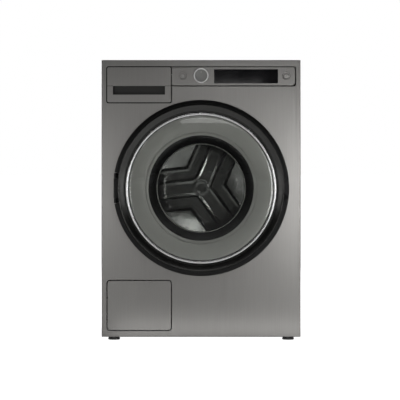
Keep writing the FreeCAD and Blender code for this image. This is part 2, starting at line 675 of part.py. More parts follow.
def door_back_frame():
    """Structural ring of the door with the hinge leaf and the latch pivot."""
    ring = turned("frame_ring", [(152, FRONT - 3), (227.6, FRONT - 3), (227.6, FRONT - 27.9),
                                 (218, FRONT - 27.9), (218, FRONT - 25), (224, FRONT - 25),
                                 (224, FRONT - 6.5), (169.6, FRONT - 6.5), (169.6, FRONT - 22),
                                 (166, FRONT - 22), (166, FRONT - 7.9), (152, FRONT - 7.9)])
    hinge_x, hinge_y = dim["hinge_x"], FRONT - dim["hinge_ahead"]
    leaf = box("leaf", (hinge_x, -223), (FRONT - 20, FRONT - 8), (AXIS_Z - 29.5, AXIS_Z + 29.5))
    knuckle = cylinder("leaf_knuckle", "Z", hinge_x, hinge_y, AXIS_Z - 29.5, 6, 59)
    ears = [box("latch_ear", (206, 220), (FRONT - 20, FRONT - 6), (low, low + 4))
            for low in (AXIS_Z - 13, AXIS_Z + 9)]
    pin_hole = cylinder("leaf_bore", "Z", hinge_x, hinge_y, AXIS_Z - 40, 4 + PLAY, 80)
    latch_way = box("latch_way", (203, 227), (FRONT - 7, FRONT - 2), (AXIS_Z - 7.5, AXIS_Z + 7.5))
    latch_bore = cylinder("latch_bore", "Z", 213, FRONT - 14, AXIS_Z - 20, 2.5 + PLAY, 40)
    return cut("frame_solid", fuse("frame_outside", ring, leaf, knuckle, *ears), pin_hole, latch_way,
               latch_bore)


def door_hinge():
    """Hinge bracket on the front panel, two ears and their pin."""
    hinge_x, hinge_y = dim["hinge_x"], FRONT - dim["hinge_ahead"]
    pieces = [box("hinge_foot", (-264, -250), (FRONT - 3, FRONT), (AXIS_Z - 45, AXIS_Z + 45))]
    for low in (AXIS_Z - 45, AXIS_Z + 30):
        pieces.append(box("hinge_ear", (-262, -252), (hinge_y, FRONT - 2), (low, low + 15)))
        pieces.append(cylinder("hinge_eye", "Z", hinge_x, hinge_y, low, 6, 15))
    pieces.append(cylinder("hinge_pin", "Z", hinge_x, hinge_y, AXIS_Z - 44, 4, 88))
    return fuse("hinge_solid", *pieces)


def latch_hook():
    """Sprung hook on the door, with its own pivot pin."""
    outline = [(209, FRONT - 18), (217, FRONT - 18), (217, FRONT + 20), (223, FRONT + 20), (217, FRONT + 31),
               (211, FRONT + 31), (209, FRONT + 10)]
    hook = extruded("hook_plate", outline, "Z", AXIS_Z - 6, AXIS_Z + 6)
    pin = cylinder("hook_pin", "Z", 213, FRONT - 14, AXIS_Z - 13, 2.5, 26)
    return fuse("hook_solid", hook, pin)


def door_lock():
    """Interlock box behind the front panel."""
    shell = rounded_block("lock_shell", (194, 246), (FRONT + 2, FRONT + 42), (AXIS_Z - 34, AXIS_Z + 34), 4)
    cavity = box("lock_cavity", (199, 234), (FRONT, FRONT + 37), (AXIS_Z - 9.5, AXIS_Z + 9.5))
    return cut("lock_solid", shell, cavity)


def door_gasket():
    """Rubber bellows from the porthole's rim to the tub's collar."""
    points = [(148.5, 10.5), (162, 9), (165, 1.5), (170.3, 1.5), (170.3, 15), (176, 15), (176.5, 19.5),
              (184, 24), (185.5, 29), (184, 34), (170.5, 40), (167.3, 46), (167.3, 60), (163.3, 60),
              (163.3, 45), (167, 37), (180.5, 31.5), (181.5, 29), (180, 26.5), (172, 22), (165, 19),
              (163, 13.5), (148.5, 13.5)]
    return turned("gasket", [(radius, FRONT + behind) for radius, behind in points])


# ---------------------------------------------------------------- tub, drum and drive
def tub_lug(x, y):
    """Lug that a damper rod pushes on; it is trimmed to the tub's wall later."""
    return box("tub_lug", (x - 22, x + 22), (y - 18, y + 18), (dim["lug_z"], 305))


def tub_front():
    """Front half of the tub with its collar, two lugs and the inlet and sump stubs."""
    outer, inner = dim["tub_radius"], dim["tub_radius"] - dim["tub_wall"]
    front, split = dim["tub_front_y"], dim["tub_split_y"]
    shell = turned("tub_front_shell", [(160, FRONT + 44), (163, FRONT + 44), (163, front), (outer, front),
                                       (outer, split - 6), (264, split - 6), (264, split), (inner, split),
                                       (inner, front + 5), (160, front + 5)])
    pieces = [tub_lug(x, dim["strut_front_y"]) for x in (-dim["strut_x"], dim["strut_x"])]
    pieces.append(cylinder("sump_stub", "Z", dim["pump_x"], SUMP_Y, 246, HOSE_RADIUS, 60))
    pieces.append(cylinder("fill_stub", "Z", FILL_X, FILL_Y, 610, HOSE_RADIUS, 58))
    bulk = cylinder("tub_front_bulk", "Y", 0, front - 10, AXIS_Z, outer - 1, 300)
    trimmed = cut("tub_front_lugs", fuse("tub_front_extras", *pieces), bulk)
    ways = [cylinder("sump_way", "Z", dim["pump_x"], SUMP_Y, 240, HOSE_BORE, 60),
            cylinder("fill_way", "Z", FILL_X, FILL_Y, 600, HOSE_BORE, 80)]
    return cut("tub_front_solid", fuse("tub_front_whole", shell, trimmed), *ways)


def tub_rear():
    """Rear half of the tub with the bearing hub, ribs, two lugs and the heater holes."""
    outer, inner = dim["tub_radius"], dim["tub_radius"] - dim["tub_wall"]
    split, rear = dim["tub_split_y"], dim["tub_rear_y"]
    hub = dim["bearing_radius"]
    shell = turned("tub_rear_shell", [(inner, split), (264, split), (264, split + 6), (outer, split + 6),
                                      (outer, rear), (45, rear), (42, rear + 14), (hub, rear + 14),
                                      (hub, rear - 12), (42, rear - 12), (45, rear - 5), (inner, rear - 5)])
    ribs = [spoke("tub_rib", angle, 42, 225, (rear - 1, rear + 11), 4) for angle in range(15, 375, 30)]
    lugs = [tub_lug(x, dim["strut_rear_y"]) for x in (-dim["strut_x"], dim["strut_x"])]
    bulk = cylinder("tub_rear_bulk", "Y", 0, split, AXIS_Z, outer - 1, 260)
    trimmed = cut("tub_rear_lugs", fuse("tub_rear_lug_pair", *lugs), bulk)
    holes = [cylinder("heater_hole", "Y", x, rear - 10, HEATER_Z, HEATER_TUBE + 0.2, 20)
             for x in (-HEATER_BEND, HEATER_BEND)]
    return cut("tub_rear_solid", fuse("tub_rear_whole", shell, trimmed, *ribs), *holes)


def heating_element():
    """U-shaped tube heater between drum and tub, with its flange behind the tub."""
    rear, bend_y = dim["tub_rear_y"], -120
    bend = doc.addObject("Part::Torus", "heater_bend")
    bind(bend, "Radius1", HEATER_BEND)
    bind(bend, "Radius2", HEATER_TUBE)
    bend.Angle3 = 180
    place(bend, 0, bend_y, HEATER_Z, FreeCAD.Rotation(V(0, 0, 1), 180))
    legs = [cylinder("heater_leg", "Y", x, bend_y, HEATER_Z, HEATER_TUBE, rear - bend_y + 2)
            for x in (-HEATER_BEND, HEATER_BEND)]
    flange = box("heater_flange", (-34, 34), (rear + 0.1, rear + 5), (HEATER_Z - 8, HEATER_Z + 10))
    tabs = [box("heater_tab", (x - 3, x + 3), (rear + 4, rear + 15), (HEATER_Z - 0.4, HEATER_Z + 0.4))
            for x in (-14, 14)]
    return fuse("heater_solid", bend, flange, *legs, *tabs)


def front_counterweights():
    """Two concrete arcs on the tub's front wall, above and below the porthole."""
    front = dim["tub_front_y"]
    ring = turned("weight_ring", [(192, front - 40), (196, front - 42), (245, front - 42), (250, front - 38),
                                  (250, front - 0.2), (192, front - 0.2)])
    side_gaps = [box("weight_gap", xs, (front - 50, front + 5), (AXIS_Z - 105, AXIS_Z + 105))
                 for xs in ((-260, -120), (120, 260))]
    return cut("weight_pair", ring, *side_gaps)


def top_counterweight():
    """Concrete block on the tub's crown."""
    block = rounded_block("weight_block", (-92, 78), (66, 192), (690, 776), 10)
    bulk = cylinder("weight_bulk", "Y", 0, 0, AXIS_Z, dim["tub_radius"] + 0.1, 260)
    return cut("top_weight_solid", block, bulk)


def motor():
    """Drive motor with end shields, cooling ribs and lugs up to the tub."""
    z, radius = dim["motor_z"], dim["motor_radius"]
    body = turned("motor_body", [(0, 86), (34, 86), (38, 92), (radius - 4, 94), (radius, 98), (radius, 176),
                                 (radius - 4, 180), (38, 182), (34, 190), (0, 190)], 0, z)
    lugs = [box("motor_lug", (x - 8, x + 8), (y, y + 14), (z + 40, 214)) for x in (-38, 38)
            for y in (104, 158)]
    bulk = cylinder("motor_bulk", "Y", 0, 80, AXIS_Z, dim["tub_radius"], 120)
    slots = [box("motor_slot", (-70, 70), (y, y + 4), (z - 62, z - 56)) for y in range(108, 172, 12)]
    bore = cylinder("motor_bore", "Y", 0, 140, z, 6 + PLAY, 60)
    return cut("motor_solid", fuse("motor_outside", body, cut("motor_lugs", fuse("motor_lug_set", *lugs),
                                                              bulk)), bore, *slots)


def motor_pulley():
    """Motor shaft with its grooved pulley."""
    radius = dim["motor_pulley_radius"]
    return turned("motor_pulley_body", [(0, 142), (6, 142), (6, 214), (radius + 1.5, 214),
                                        (radius + 1.5, 217), (radius, 217.5), (radius, 232.5),
                                        (radius + 1.5, 233), (radius + 1.5, 236), (0, 236)], 0,
                  dim["motor_z"])


def drive_belt():
    """Flat ribbed belt round both pulleys."""
    body = doc.addObject("PartDesign::Body", "belt_body")
    sketch = new_sketch(body, "belt_outline", "XZ_Plane")
    distance = AXIS_Z - dim["motor_z"]
    for thickness in (4, 0):
        gap = dim["belt_gap"] + thickness
        belt_outline(sketch, dim["pulley_radius"] + gap, dim["motor_pulley_radius"] + gap, distance)
    pad = body.newObject("PartDesign::Pad", "belt_pad")
    pad.Profile = sketch
    pad.Reversed = True
    bind(pad, "Length", 12)
    return place(body, 0, 219, AXIS_Z)


def drum_bearings():
    """Front and rear bearing of the drum shaft."""
    rear, outer, inner = dim["tub_rear_y"], dim["bearing_radius"], dim["shaft_radius"] + PLAY
    rings = [turned("bearing", [(inner, low), (outer, low), (outer, low + 12), (inner, low + 12)])
             for low in (rear - 12, rear + 1)]
    return group("bearing_pair", *rings)


def drum_shell():
    """Stainless drum wall with its front wall and rolled mouth."""
    outer, front, rear = dim["drum_radius"], dim["drum_front_y"], dim["drum_rear_y"]
    return turned("drum_wall", [(155, front - 3), (157, front - 5), (160, front - 5), (163, front - 3),
                                (164, front), (outer - 3, front), (outer, front + 3), (outer, rear),
                                (outer - SHEET, rear), (outer - SHEET, front + 4),
                                (outer - 4, front + SHEET), (163, front + SHEET), (161, front - 2),
                                (159, front - 3.5), (157, front - 2), (157, front + 6), (155, front + 6)])


def drum_back():
    """Pressed rear wall of the drum with three raised arms and a centre boss."""
    inner, rear = dim["drum_radius"] - SHEET, dim["drum_rear_y"]
    dish = turned("drum_back_dish", [(0, rear - 3), (60, rear - 3), (150, rear - 6), (205, rear - 12),
                                     (228, rear - 12), (inner, rear - 6), (inner, rear - 1),
                                     (inner - 1.5, rear - 1), (inner - 1.5, rear - 5), (227, rear - 10.5),
                                     (206, rear - 10.5), (150, rear - 4.5), (60, rear - 1.5),
                                     (0, rear - 1.5)])
    arms = [spoke("back_arm", angle, 10, 200, (rear - 14, rear - 5), 42) for angle in ARM_ANGLES]
    channels = [spoke("back_channel", angle, 36, 198, (rear - 12.6, rear), 39) for angle in ARM_ANGLES]
    boss = turned("back_boss", [(0, rear - 19), (16, rear - 19), (22, rear - 15), (34, rear - 13),
                                (34, rear - 2), (0, rear - 2)])
    room = turned("boss_room", [(0, rear - 16), (15, rear - 16), (20, rear - 13), (30, rear - 11),
                                (30, rear + 1), (0, rear + 1)])
    return cut("drum_back_solid", fuse("drum_back_outside", dish, boss, *arms), room, *channels)


def drum_paddles():
    """Three lifters inside the drum."""
    paddles = []
    for angle in ARM_ANGLES:
        outline = [(-36, -234.5), (36, -234.5), (24, -206), (13, -184), (0, -177), (-13, -184), (-24, -206)]
        rotation = FreeCAD.Rotation(V(0, 1, 0), -angle - 30)
        room = [(-32, -240), (32, -240), (20.5, -207), (10.5, -186.5), (0, -180.5), (-10.5, -186.5),
                (-20.5, -207)]
        front, rear = dim["drum_front_y"] + 20, dim["drum_rear_y"] - 16
        shell = extruded("paddle_shell", outline, "Y", front, rear, rotation)
        hollow_room = extruded("paddle_room", room, "Y", front + 3, rear - 3, rotation)
        for piece in (shell, hollow_room):
            bind(piece, "Placement.Base.z", AXIS_Z)
        paddles.append(cut("paddle", shell, hollow_room))
    return group("paddle_set", *paddles)


def drum_spider():
    """Cast three-armed spider with the drum shaft."""
    rear = dim["drum_rear_y"]
    arms = []
    for angle in ARM_ANGLES:
        arms.append(spoke("spider_arm", angle, 10, 234, (rear, rear + 12), 30))
        arms.append(spoke("spider_web", angle, 10, 150, (rear + 6, rear + 30), 8))
    hub = turned("spider_hub", [(0, rear), (44, rear), (40, rear + 30), (30, rear + 36),
                                (dim["shaft_radius"], rear + 36), (dim["shaft_radius"], 247), (0, 247)])
    return fuse("spider_solid", hub, *arms)


def drum_pulley():
    """Large belt pulley with lightening holes."""
    rim, bore = dim["pulley_radius"], dim["shaft_radius"]
    wheel = turned("pulley_wheel", [(bore, 215.5), (26, 215.5), (30, 222), (rim - 12, 222), (rim - 10, 217),
                                    (rim, 217), (rim, 233), (rim - 10, 233), (rim - 12, 228), (30, 228),
                                    (26, 242), (bore, 242)])
    holes = []
    for angle in range(0, 360, 60):
        turn = math.radians(angle)
        holes.append(cylinder("pulley_hole", "Y", 82 * math.cos(turn), 210, AXIS_Z + 82 * math.sin(turn),
                              30, 40))
    return cut("pulley_solid", wheel, *holes)


# ---------------------------------------------------------------- dampers, hoses and pump
def damper_cylinders():
    """Damper tubes that stand on the base tray."""
    tubes = []
    for x, y in strut_spots():
        tube = cylinder("damper_tube", "Z", x, y, dim["tray_top"], 16, 135)
        bore = cylinder("damper_bore", "Z", x, y, dim["tray_top"] + 40, 6 + PLAY, 140)
        tubes.append(cut("damper", tube, bore))
    return group("damper_set", *tubes)


def damper_rods():
    """Damper rods that the tub's lugs rest on."""
    low = dim["tray_top"] + 60
    return group("rod_set", *[cylinder("rod", "Z", x, y, low, 6, dim["lug_z"] - low)
                              for x, y in strut_spots()])


def suspension_springs():
    """Coil springs round the dampers."""
    wire, coil, low, high = 3.2, 23, 54, 232
    springs = []
    for x, y in strut_spots():
        helix = doc.addObject("Part::Helix", "spring_path")
        helix.Pitch = 29
        helix.Height = high - low
        helix.Radius = coil
        section = doc.addObject("Part::Circle", "spring_wire")
        section.Radius = wire
        section.Placement = FreeCAD.Placement(V(coil, 0, 0), FreeCAD.Rotation(V(1, 0, 0), 90))
        doc.recompute()
        spring = doc.addObject("Part::Sweep", "spring")
        spring.Sections = [section]
        spring.Spine = (helix, ["Edge%d" % (number + 1) for number in range(len(helix.Shape.Edges))])
        spring.Solid = True
        spring.Frenet = True
        springs.append(place(spring, x, y, low))
    return group("spring_set", *springs)


def bellows(name, x, y, low, high, waves):
    """Vertical corrugated hose that fits over a stub at each end."""
    step = (high - low) / (2.0 * waves)
    outer = [(20 if count % 2 else 17.6, low + count * step) for count in range(2 * waves + 1)]
    body = doc.addObject("PartDesign::Body", name)
    sketch = new_sketch(body, name + "_profile", "XZ_Plane")
    polygon(sketch, outer + [(16.2, high), (16.2, low)])
    revolution = body.newObject("PartDesign::Revolution", name + "_revolution")
    revolution.Profile = sketch
    revolution.ReferenceAxis = (sketch, ["V_Axis"])
    revolution.Angle = 360
    return place(body, x, y, 0)


def drain_pump():
    """Pump housing with the filter mouth in front, the sump inlet on top and its motor behind."""
    x, z = dim["pump_x"], dim["pump_z"]
    housing = turned("pump_housing", [(30.5, FRONT + 24), (38, FRONT + 24), (38, FRONT + 88),
                                      (26, FRONT + 92), (26, FRONT + 132), (0, FRONT + 132),
                                      (0, FRONT + 86), (33, FRONT + 86), (33, FRONT + 64),
                                      (30.5, FRONT + 62)], x, z)
    inlet = cylinder("pump_inlet", "Z", x, SUMP_Y, z + 30, HOSE_RADIUS, 20)
    inlet_way = cylinder("pump_inlet_way", "Z", x, SUMP_Y, z + 10, HOSE_BORE, 60)
    feet = [box("pump_foot", (x + offset - 6, x + offset + 6), (y, y + 12), (dim["foot_gap"] + 6.1, z - 20))
            for offset in (-24, 24) for y in (FRONT + 32, FRONT + 72)]
    room = cylinder("pump_room", "Y", x, FRONT + 20, z, 37, 66)
    legs = cut("pump_feet", fuse("pump_foot_set", *feet), room)
    return cut("pump_solid", fuse("pump_outside", housing, cut("pump_neck", inlet, room), legs), inlet_way)


def pump_impeller():
    """Two-bladed impeller at the end of the pump room."""
    x, z = dim["pump_x"], dim["pump_z"]
    hub = cylinder("impeller_hub", "Y", x, FRONT + 68, z, 6, 14)
    blades = [box("impeller_blade", (x - 26, x + 26), (FRONT + 68, FRONT + 82), (z - 1.5, z + 1.5)),
              box("impeller_cross", (x - 1.5, x + 1.5), (FRONT + 68, FRONT + 82), (z - 26, z + 26))]
    return fuse("impeller_solid", hub, *blades)


def pump_filter():
    """Filter plug with its grip bar and its cage."""
    x, z = dim["pump_x"], dim["pump_z"]
    plug = turned("filter_plug", [(0, FRONT + 18), (35, FRONT + 18), (35, FRONT + 23.6), (30.4, FRONT + 23.6),
                                  (30.4, FRONT + 30), (24, FRONT + 30), (24, FRONT + 60), (21, FRONT + 60),
                                  (21, FRONT + 33), (0, FRONT + 33)], x, z)
    grip = box("filter_grip", (x - 26, x + 26), (FRONT + 8, FRONT + 19), (z - 5, z + 5))
    slots = [box("filter_slot", (x - 40, x + 40), (low, low + 5), (z - 6, z + 6))
             for low in (FRONT + 38, FRONT + 48)]
    return cut("filter_solid", fuse("filter_outside", plug, grip), *slots)


def hatch_frame():
    """Moulded frame behind the hatch opening with the hinge bosses."""
    xs, zs = (-292, -82), (22, 188)
    ys = (FRONT + 1.4, FRONT + 13)
    outer = box("hatch_frame_outer", xs, ys, zs)
    inner = box("hatch_frame_inner", (-285.5, -87.5), (FRONT, FRONT + 20), (27.5, 183))
    bosses = []
    for low in HATCH_BOSSES:
        level = (low, low + 6)
        bosses.append(box("hatch_boss", (HATCH_AXIS_X - 3, HATCH_AXIS_X + 3),
                          (HATCH_AXIS_Y - 2.5, FRONT + 27), level))
        bosses.append(box("hatch_boss_arm", (-291.5, HATCH_AXIS_X + 3), (FRONT + 23.5, FRONT + 27), level))
        bosses.append(box("hatch_boss_link", (-291.5, -286), (FRONT + 12, FRONT + 27), level))
    pins = [cylinder("hatch_pin", "Z", HATCH_AXIS_X, HATCH_AXIS_Y, low, 2, 27) for low in HATCH_BOSSES[::2]]
    return fuse("hatch_frame_solid", cut("hatch_frame_ring", outer, inner), *bosses, *pins)


def service_flap():
    """Hatch door with two hinge knuckles and a stiffening rib."""
    edge = SEAM / 2
    xs = (dim["hatch_left"] + edge, dim["hatch_right"] - edge)
    zs = (dim["hatch_bottom"] + edge, dim["hatch_top"] - edge)
    plate = rounded_block("flap_plate", xs, (FRONT, FRONT + 2.5), zs, 8.5)
    pieces, bores = [plate], []
    for low in (boss + 6.5 for boss in HATCH_BOSSES[::2]):
        pieces.append(box("flap_arm", (HATCH_AXIS_X - 2.5, HATCH_AXIS_X + 3.5), (FRONT + 2, HATCH_AXIS_Y),
                          (low, low + 14)))
        pieces.append(cylinder("flap_knuckle", "Z", HATCH_AXIS_X, HATCH_AXIS_Y, low, 3.5, 14))
        bores.append(cylinder("flap_bore", "Z", HATCH_AXIS_X, HATCH_AXIS_Y, low - 2, 2 + PLAY, 18))
    pieces += [box("flap_rib", (-258, -98), (FRONT + 2, FRONT + 5), (low, low + 2)) for low in (50, 158)]
    pieces.append(box("flap_catch", (-97, -94.5), (FRONT + 2, FRONT + 10), (96, 112)))
    return cut("flap_solid", fuse("flap_outside", *pieces), *bores)


# ---------------------------------------------------------------- assembly
PIECES = (
    front_panel, top_cover, rear_panel, rear_screws, base_tray, control_panel, display_glass,
    electronics_box, program_knob, knob_ring, dispenser_housing, drawer_tray, drawer_front, inlet_valve,
    drain_outlet, mains_inlet, door_surround, door_rim, door_chrome_ring, door_glass, door_trim_plate,
    door_mask_ring, door_bowl, door_back_frame, door_hinge, latch_hook, door_lock, door_gasket,
    tub_front, tub_rear, heating_element, front_counterweights, top_counterweight, motor, motor_pulley,
    drive_belt, drum_bearings, drum_shell, drum_back, drum_paddles, drum_spider, drum_pulley,
    damper_cylinders, damper_rods, suspension_springs, drain_pump, pump_impeller, pump_filter,
    hatch_frame, service_flap,
)
for make in PIECES:
    node(make(), make.__name__)
node(side_panel("left_side", -1), "left_side_panel")
node(side_panel("right_side", 1), "right_side_panel")
node(push_button("power", dim["power_x"]), "power_button")
node(push_button("start", dim["start_x"]), "start_button")
node(bellows("fill_bellows", FILL_X, FILL_Y, 656, 721.7, 8), "dispenser_hose")
node(bellows("sump_bellows", dim["pump_x"], SUMP_Y, 138.8, 260, 15), "sump_hose")
FOOT_NAMES = ("front_left_foot", "rear_left_foot", "front_right_foot", "rear_right_foot")
for label, (foot_x, foot_y) in zip(FOOT_NAMES, corner_spots()):
    node(foot(label + "_parts", foot_x, foot_y), label)

doc.recompute()
for item in doc.Objects:
    if "Invalid" in item.State or "Error" in item.State:
        raise RuntimeError("failed: %s %s" % (item.Name, item.State))
for item in nodes:
    if item.Shape.isNull() or not item.Shape.isValid() or not item.Shape.Solids:
        raise RuntimeError("bad shape: " + item.Label)

os.makedirs("parts", exist_ok=True)
for item in nodes:
    item.Shape.exportStep(os.path.join("parts", item.Label + ".step"))
print(len(nodes), "nodes written")
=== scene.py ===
"""Looks of the front load washing machine: finer meshes for its turned and pressed pieces, its materials,
the studio and the camera. Profiles are in millimetres, everything else is in metres, in the part's frame."""
import math

import bmesh
import bpy
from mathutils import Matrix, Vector


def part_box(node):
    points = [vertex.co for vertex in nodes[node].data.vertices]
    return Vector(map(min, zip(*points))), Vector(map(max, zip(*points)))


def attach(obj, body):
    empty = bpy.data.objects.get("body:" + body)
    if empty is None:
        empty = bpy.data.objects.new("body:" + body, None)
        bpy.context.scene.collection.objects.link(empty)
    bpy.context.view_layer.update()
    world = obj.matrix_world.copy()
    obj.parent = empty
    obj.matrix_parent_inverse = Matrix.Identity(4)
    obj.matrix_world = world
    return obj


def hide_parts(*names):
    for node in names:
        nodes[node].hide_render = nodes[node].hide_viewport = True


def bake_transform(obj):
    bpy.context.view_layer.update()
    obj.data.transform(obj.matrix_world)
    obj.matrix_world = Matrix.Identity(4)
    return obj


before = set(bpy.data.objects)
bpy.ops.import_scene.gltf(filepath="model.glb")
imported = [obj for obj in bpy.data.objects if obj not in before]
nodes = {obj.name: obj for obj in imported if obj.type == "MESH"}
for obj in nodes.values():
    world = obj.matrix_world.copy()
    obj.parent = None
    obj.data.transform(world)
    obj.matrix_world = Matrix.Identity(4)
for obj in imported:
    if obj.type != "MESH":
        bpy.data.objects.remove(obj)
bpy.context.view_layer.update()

# ---------------------------------------------------------------- measures
MM = 0.001
glass_low, glass_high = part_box("door_glass")
# The common axis of the door's rings and the drum.
AXIS_X = (glass_low.x + glass_high.x) / 2
AXIS_Z = (glass_low.z + glass_high.z) / 2
# Outer faces of the front panel and of the cabinet's rear edge.
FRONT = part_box("front_panel")[0].y
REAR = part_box("left_side_panel")[1].y
# Steps round a turned piece, unless its call says otherwise.
TURNS = 256
# Directions of the three arms pressed into the drum's back, in degrees.
ARM_ANGLES = (66, 186, 306)
# CAD parts: edges under the first angle shade smooth, edges over the second are softened, in degrees.
SMOOTH_BELOW, SOFTEN_ABOVE = 32, 40
# Points nearer to each other than this, in metres, are one point.
SAME_POINT = 1e-6


# ---------------------------------------------------------------- mesh helpers
def softened(outline, radius, closed, steps=4):
    """Replace each corner of an outline by a short curve that takes less than half of either side."""
    outline = [Vector(point) for point in outline]
    count, longest = len(outline), 0.45
    points = []
    for index, corner in enumerate(outline):
        if not closed and index in (0, count - 1):
            points.append(corner)
            continue
        back = outline[index - 1] - corner
        ahead = outline[(index + 1) % count] - corner
        reach = min(radius, longest * back.length, longest * ahead.length)
        start = corner + back.normalized() * reach
        end = corner + ahead.normalized() * reach
        for step in range(steps + 1):
            share = step / steps
            points.append((1 - share) ** 2 * start + 2 * share * (1 - share) * corner + share ** 2 * end)
    return points


def piece(name, vertices, faces, look, crease=35):
    """Mesh piece with its look; faces turn outwards and edges over the crease angle stay sharp."""
    mesh = bpy.data.meshes.new(name)
    mesh.from_pydata([tuple(vertex) for vertex in vertices], [], faces)
    shape = bmesh.new()
    shape.from_mesh(mesh)
    bmesh.ops.remove_doubles(shape, verts=shape.verts, dist=SAME_POINT)
    bmesh.ops.recalc_face_normals(shape, faces=shape.faces)
    shape.to_mesh(mesh)
    shape.free()
    mesh.polygons.foreach_set("use_smooth", [True] * len(mesh.polygons))
    mesh.set_sharp_from_angle(angle=math.radians(crease))
    item = bpy.data.objects.new(name, mesh)
    bpy.context.scene.collection.objects.link(item)
    mesh.materials.append(LOOKS[look])
    return item


def ring_faces(turns, count, closed):
    """Quads between successive copies of a profile turned about an axis."""
    faces = []
    for turn in range(turns):
        following = (turn + 1) % turns
        for index in range(count if closed else count - 1):
            ahead = (index + 1) % count
            faces.append((turn * count + index, turn * count + ahead, following * count + ahead,
                          following * count + index))
    return faces


def turned(name, outline, look, x=AXIS_X, z=AXIS_Z, origin=FRONT, rounding=0.6, closed=True, turns=TURNS,
           shape=None):
    """Turn an outline of (radius, y) millimetres about a line along Y; shape moves points by their angle."""
    points = softened(outline, rounding, closed)
    vertices = []
    for turn in range(turns):
        angle = 2 * math.pi * turn / turns
        for radius, y in points:
            if shape:
                radius, y = shape(radius, y, angle)
            reach = radius * MM
            vertices.append((x + reach * math.cos(angle), origin + y * MM, z + reach * math.sin(angle)))
    return piece(name, vertices, ring_faces(turns, len(points), closed), look)


def upright(name, outline, look, x, y, rounding=0.6, turns=96, shape=None):
    """Turn an open outline of (radius, z) millimetres about a vertical line."""
    points = softened(outline, rounding, False)
    vertices = []
    for turn in range(turns):
        angle = 2 * math.pi * turn / turns
        for radius, height in points:
            if shape:
                radius = shape(radius, height, angle)
            reach = radius * MM
            vertices.append((x + reach * math.cos(angle), y + reach * math.sin(angle), height * MM))
    return piece(name, vertices, ring_faces(turns, len(points), False), look)


def add_prism(vertices, faces, lower, upper):
    """Join two outlines of equally many points by side faces and close both ends."""
    first, count = len(vertices), len(lower)
    vertices += lower + upper
    faces.append(tuple(range(first, first + count)))
    faces.append(tuple(range(first + 2 * count - 1, first + count - 1, -1)))
    for index in range(count):
        ahead = (index + 1) % count
        faces.append((first + index, first + ahead, first + count + ahead, first + count + index))


def plate(name, outlines, look, low, high):
    """Flat shapes given thickness along Y; each outline is a list of (x, z) in metres."""
    vertices, faces = [], []
    for outline in outlines:
        add_prism(vertices, faces, [(x, low, z) for x, z in outline], [(x, high, z) for x, z in outline])
    return piece(name, vertices, faces, look)


def arc_band(x, z, radius, width, start, end, steps=24):
    """Outline of a curved stroke, angles in degrees."""
    outer, inner = [], []
    far, near = radius + width / 2, radius - width / 2
    for step in range(steps + 1):
        angle = math.radians(start + (end - start) * step / steps)
        outer.append((x + far * math.cos(angle), z + far * math.sin(angle)))
        inner.append((x + near * math.cos(angle), z + near * math.sin(angle)))
    return outer + inner[::-1]


def smoothing_group():
    """Geometry nodes that smooth a mesh except at its sharp edges."""
    group = bpy.data.node_groups.new("smooth_by_angle", "GeometryNodeTree")
    group.interface.new_socket("Geometry", in_out="INPUT", socket_type="NodeSocketGeometry")
    group.interface.new_socket("Geometry", in_out="OUTPUT", socket_type="NodeSocketGeometry")
    source, sink = group.nodes.new("NodeGroupInput"), group.nodes.new("NodeGroupOutput")
    angle = group.nodes.new("GeometryNodeInputMeshEdgeAngle")
    compare = group.nodes.new("FunctionNodeCompare")
    compare.data_type = "FLOAT"
    compare.operation = "LESS_THAN"
    compare.inputs["B"].default_value = math.radians(SMOOTH_BELOW)
    faces = group.nodes.new("GeometryNodeSetShadeSmooth")
    edges = group.nodes.new("GeometryNodeSetShadeSmooth")
    faces.domain, edges.domain = "FACE", "EDGE"
    faces.inputs["Shade Smooth"].default_value = True
    link = group.links.new
    link(angle.outputs["Unsigned Angle"], compare.inputs["A"])
    link(source.outputs[0], faces.inputs[0])
    link(faces.outputs[0], edges.inputs[0])
    link(compare.outputs[0], edges.inputs["Shade Smooth"])
    link(edges.outputs[0], sink.inputs[0])
    return group


SMOOTHING = smoothing_group()


def refine(node, look, width=0.4, segments=2):
    """Keep a CAD part: soften its sharp edges by so many millimetres and give it its material."""
    item = nodes[node]
    weld = item.modifiers.new("weld", "WELD")
    weld.merge_threshold = SAME_POINT
    if width:
        bevel = item.modifiers.new("soft_edges", "BEVEL")
        bevel.width = width * MM
        bevel.segments = segments
        bevel.limit_method = "ANGLE"
        bevel.angle_limit = math.radians(SOFTEN_ABOVE)
    smooth = item.modifiers.new("smooth", "NODES")
    smooth.node_group = SMOOTHING
    flat = item.modifiers.new("flat_faces_stay_flat", "WEIGHTED_NORMAL")
    flat.keep_sharp = True
    flat.weight = 100
    for index in range(len(item.material_slots)):
        item.material_slots[index].link = "OBJECT"
        item.material_slots[index].material = LOOKS[look]


